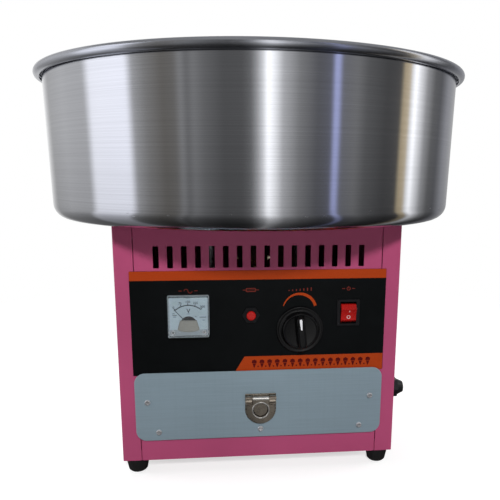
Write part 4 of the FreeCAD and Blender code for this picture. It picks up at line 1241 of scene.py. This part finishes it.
def makeHeadBand():
    bottom = low("head_band").z
    top = high("head_band").z
    radius = high("head_band").x
    rows = [bottom, bottom + band["margin"], (bottom + top) / 2 - 0.8 * mm, (bottom + top) / 2 + 0.8 * mm,
            top - band["margin"], top]
    turns = []
    for k in range(band["slots"]):
        turns += [k / band["slots"], (k + band["slotShare"]) / band["slots"]]
    verts = []
    for share in turns:
        angle = 2 * math.pi * share
        verts += [(radius * math.cos(angle), radius * math.sin(angle), z) for z in rows]
    count = len(rows)
    faces = []
    for column in range(len(turns)):
        following = (column + 1) % len(turns)
        for row in range(count - 1):
            if column % 2 == 0 and row in (1, 3):
                continue
            faces.append((column * count + row, following * count + row, following * count + row + 1,
                          column * count + row + 1))
    mesh = meshFrom("head_mesh", verts, faces)
    piece = makeObject("head_mesh", mesh, "spinner", slotOf["head_band"])
    solid = piece.modifiers.new("sheet", "SOLIDIFY")
    solid.thickness = band["thick"]
    solid.offset = -1
    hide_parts("head_band")


makeHeadBand()
print("head band made")

# studio: camera, floor, lamps and what bright metal mirrors
studio = {
    "floor": 0.55,
    "floorLift": 0.62,
    "fadeFrom": 0.34,              # metres from the middle where the floor starts turning white
    "fadeTo": 1.0,
    "world": 0.11,
    "surroundRadius": 2.3,
    "surroundHigh": 2.4,
    "ceiling": 0.34,
    "lowDim": 0.72,
    "nearDim": 0.16,
}
camera = {
    "place": (-0.04774, -0.78258, 0.35234),
    "yaw": -0.1014,
    "pitch": -0.2058,
    "roll": 0.0055,
    "lens": 41.92,
    "shift": (-0.0511, 0.0807),
}


def makeCamera():
    data = bpy.data.cameras.new("benchCamera")
    data.sensor_width = 36.0
    data.lens = camera["lens"]
    data.shift_x, data.shift_y = camera["shift"]
    data.clip_start = 0.01
    piece = placed("benchCamera", data)
    yaw, pitch, roll = camera["yaw"], camera["pitch"], camera["roll"]
    ahead = Vector((-math.sin(yaw) * math.cos(pitch), math.cos(yaw) * math.cos(pitch), math.sin(pitch)))
    right = Vector((math.cos(yaw), math.sin(yaw), 0))
    up = right.cross(ahead)
    tiltedRight = math.cos(roll) * right + math.sin(roll) * up
    tiltedUp = math.cos(roll) * up - math.sin(roll) * right
    turn = Matrix((tiltedRight, tiltedUp, -ahead)).transposed().to_4x4()
    piece.matrix_world = Matrix.Translation(camera["place"]) @ turn
    scene.camera = piece


lamps = {                          # place, aim, size and watts
    "keyLight": ((0.05, -2.02, 1.40), (0, -0.14, 0.2), (0.3, 0.26), 36),
    "rightLight": ((2.0, 0.1, 0.9), (0, 0, 0.2), (1.0, 0.8), 19),
    "leftLight": ((-2.0, 0.1, 0.9), (0, 0, 0.2), (1.0, 0.8), 17),
    "rearLight": ((-0.5, 2.0, 1.5), (0, 0, 0.25), (1.2, 0.9), 34),
}


def areaLight(name, place, target, size, power):
    data = bpy.data.lights.new(name, "AREA")
    data.shape = "RECTANGLE"
    data.size, data.size_y = size
    data.energy = power
    piece = placed(name, data)
    piece.location = place
    aim = Vector(target) - Vector(place)
    piece.rotation_euler = aim.to_track_quat("-Z", "Y").to_euler()
    piece.visible_camera = False
    piece.visible_glossy = False


def seenDirectly(near):
    # 1 for what the camera, a mirror or clear glass sees, 0 for the light that falls on the object
    path = addNode(near, "LightPath").outputs
    mirrored = calculate("MAXIMUM", path["Is Glossy Ray"], path["Is Transmission Ray"])
    return calculate("MAXIMUM", path["Is Camera Ray"], mirrored)


def lengthOf(vector):
    node = addNode(vector, "VectorMath")
    node.operation = "LENGTH"
    feed(node, 0, vector)
    return node.outputs["Value"]


def makeFloor():
    mesh = meshFrom("floor", [(-9, -9, 0), (9, -9, 0), (9, 9, 0), (-9, 9, 0)], [(0, 1, 2, 3)], False)
    floor = placed("floor", mesh)
    material, shader = newMaterial("paleFloor")
    vector = objectSpace(shader)
    pale = (*[studio["floor"]] * 3, 1)
    feed(shader, "Base Color", mottled(noiseField(vector, 40.0), pale, 1.0, 1.02))
    setInputs(shader, {"Roughness": 0.8, "Emission Color": (1, 1, 1, 1)})
    seen = seenDirectly(shader)
    feed(shader, "Emission Strength", times(seen, studio["floorLift"]))
    # the floor turns plain white away from the object, so there is no horizon
    fade = spread(lengthOf(vector), 0.0, 1.0, studio["fadeFrom"], studio["fadeTo"])
    join = addNode(shader, "MixShader")
    feed(join, "Fac", times(seen, fade))
    feed(join, 1, shader.outputs["BSDF"])
    feed(join, 2, addNode(shader, "Emission").outputs["Emission"])
    feed(material.node_tree.nodes["Material Output"], "Surface", join.outputs["Shader"])
    mesh.materials.append(material)


# what bright metal sees round the room: degrees from the front towards +X, grey level, warmth
cardStops = [
    (-180, 1.0, 0), (-150, 0.9, 0), (-135, 0.5, 0), (-114, 0.65, 0), (-94, 0.62, 0), (-89, 1.4, -0.3),
    (-66, 1.45, -0.4), (-62, 0.5, 0), (-55, 0.3, 0.2), (-46, 0.18, 0.6), (-40, 0.2, 0.4), (-37, 0.34, 0),
    (-34, 0.2, 0), (-31, 0.29, 0), (-26, 0.2, 0), (-17, 0.125, 0), (-8, 0.13, 0), (-4, 0.2, 0), (-1, 0.5, 0),
    (2, 1.1, 0), (4, 2.1, 0), (7, 1.5, 0), (11, 0.66, 0), (19, 0.3, 0), (28, 0.15, -0.4), (35, 0.17, -1.0),
    (36.5, 0.66, -3.8), (38.2, 0.62, -3.8), (40, 0.22, -0.5), (48, 0.25, 0), (54, 0.15, 0), (66, 0.09, 0),
    (75, 0.1, 0), (77, 0.5, 2.2), (81, 0.62, 2.2), (83, 1.2, 0), (86, 2.0, 0), (89, 1.3, 0), (96, 0.45, 0),
    (104, 0.17, 0), (112, 0.14, -0.3), (123, 0.34, -0.4), (150, 0.5, 0), (180, 1.0, 0),
]


def cardColour(level, warmth):
    red = 1 + (0.1 if warmth > 0 else 0.02) * warmth
    return (level * red, level, level * (1 - 0.16 * warmth), 1)


def makeSurround():
    # cards that only shine in bright metal: strips round the wall, a pale ceiling and a dark floor
    radius, top = studio["surroundRadius"], studio["surroundHigh"]
    profile = [(0.01, 2 * mm), (radius, 2 * mm), (radius, top), (radius * 0.9, top + 0.2), (0.01, top + 0.2)]
    mesh = lathe("reflectionCards", profile, 96, closed=False)
    surround = placed("reflectionCards", mesh)
    material = bpy.data.materials.new("reflectionCards")
    material.use_nodes = True
    material.node_tree.nodes.clear()
    glow = material.node_tree.nodes.new("ShaderNodeEmission")
    x, y, z = axes(objectSpace(glow))
    around = spread(calculate("ARCTAN2", x, times(y, -1.0)), 0.0, 1.0, -math.pi, math.pi)
    half = len(cardStops) // 2

    def strip(part):
        first, final = part[0][0], part[-1][0]
        place = spread(around, 0.0, 1.0, (first + 180) / 360, (final + 180) / 360)
        return colourRamp(place, [((angle - first) / (final - first), cardColour(level, warmth))
                                  for angle, level, warmth in part])

    # a colour ramp holds 32 stops at most, so each half of the room has its own
    leftSide = strip(cardStops[:half + 1])
    rightSide = strip(cardStops[half:])
    onRight = calculate("GREATER_THAN", around, (cardStops[half][0] + 180) / 360)
    bands = blendColours(onRight, leftSide, rightSide)
    # dimmer towards the floor, and dark on the floor near the object
    flat = addNode(glow, "CombineXYZ")
    feed(flat, "X", x)
    feed(flat, "Y", y)
    dim = times(spread(z, studio["lowDim"], 1.0, 0.0, 0.5),
                    spread(lengthOf(flat.outputs["Vector"]), studio["nearDim"], 1.0, 0.3, 1.5))
    overhead = calculate("GREATER_THAN", z, top - 0.05)
    feed(glow, "Color", blendColours(overhead, blendColours(dim, (0, 0, 0, 1), bands),
                                     (*[studio["ceiling"]] * 3, 1)))
    feed(addNode(glow, "OutputMaterial"), "Surface", glow.outputs["Emission"])
    mesh.materials.append(material)
    for rays in ("camera", "diffuse", "transmission", "shadow", "volume_scatter"):
        setattr(surround, "visible_" + rays, False)


def makeWorld():
    world = bpy.data.worlds.new("studio")
    scene.world = world
    world.use_nodes = True
    background = world.node_tree.nodes["Background"]
    level = (*[studio["world"]] * 3, 1)
    feed(background, "Color", blendColours(seenDirectly(background), level, (1, 1, 1, 1)))


makeCamera()
makeFloor()
makeSurround()
makeWorld()
for lampName, lamp in lamps.items():
    areaLight(lampName, *lamp)
scene.view_settings.view_transform = "Standard"
print("studio lit")
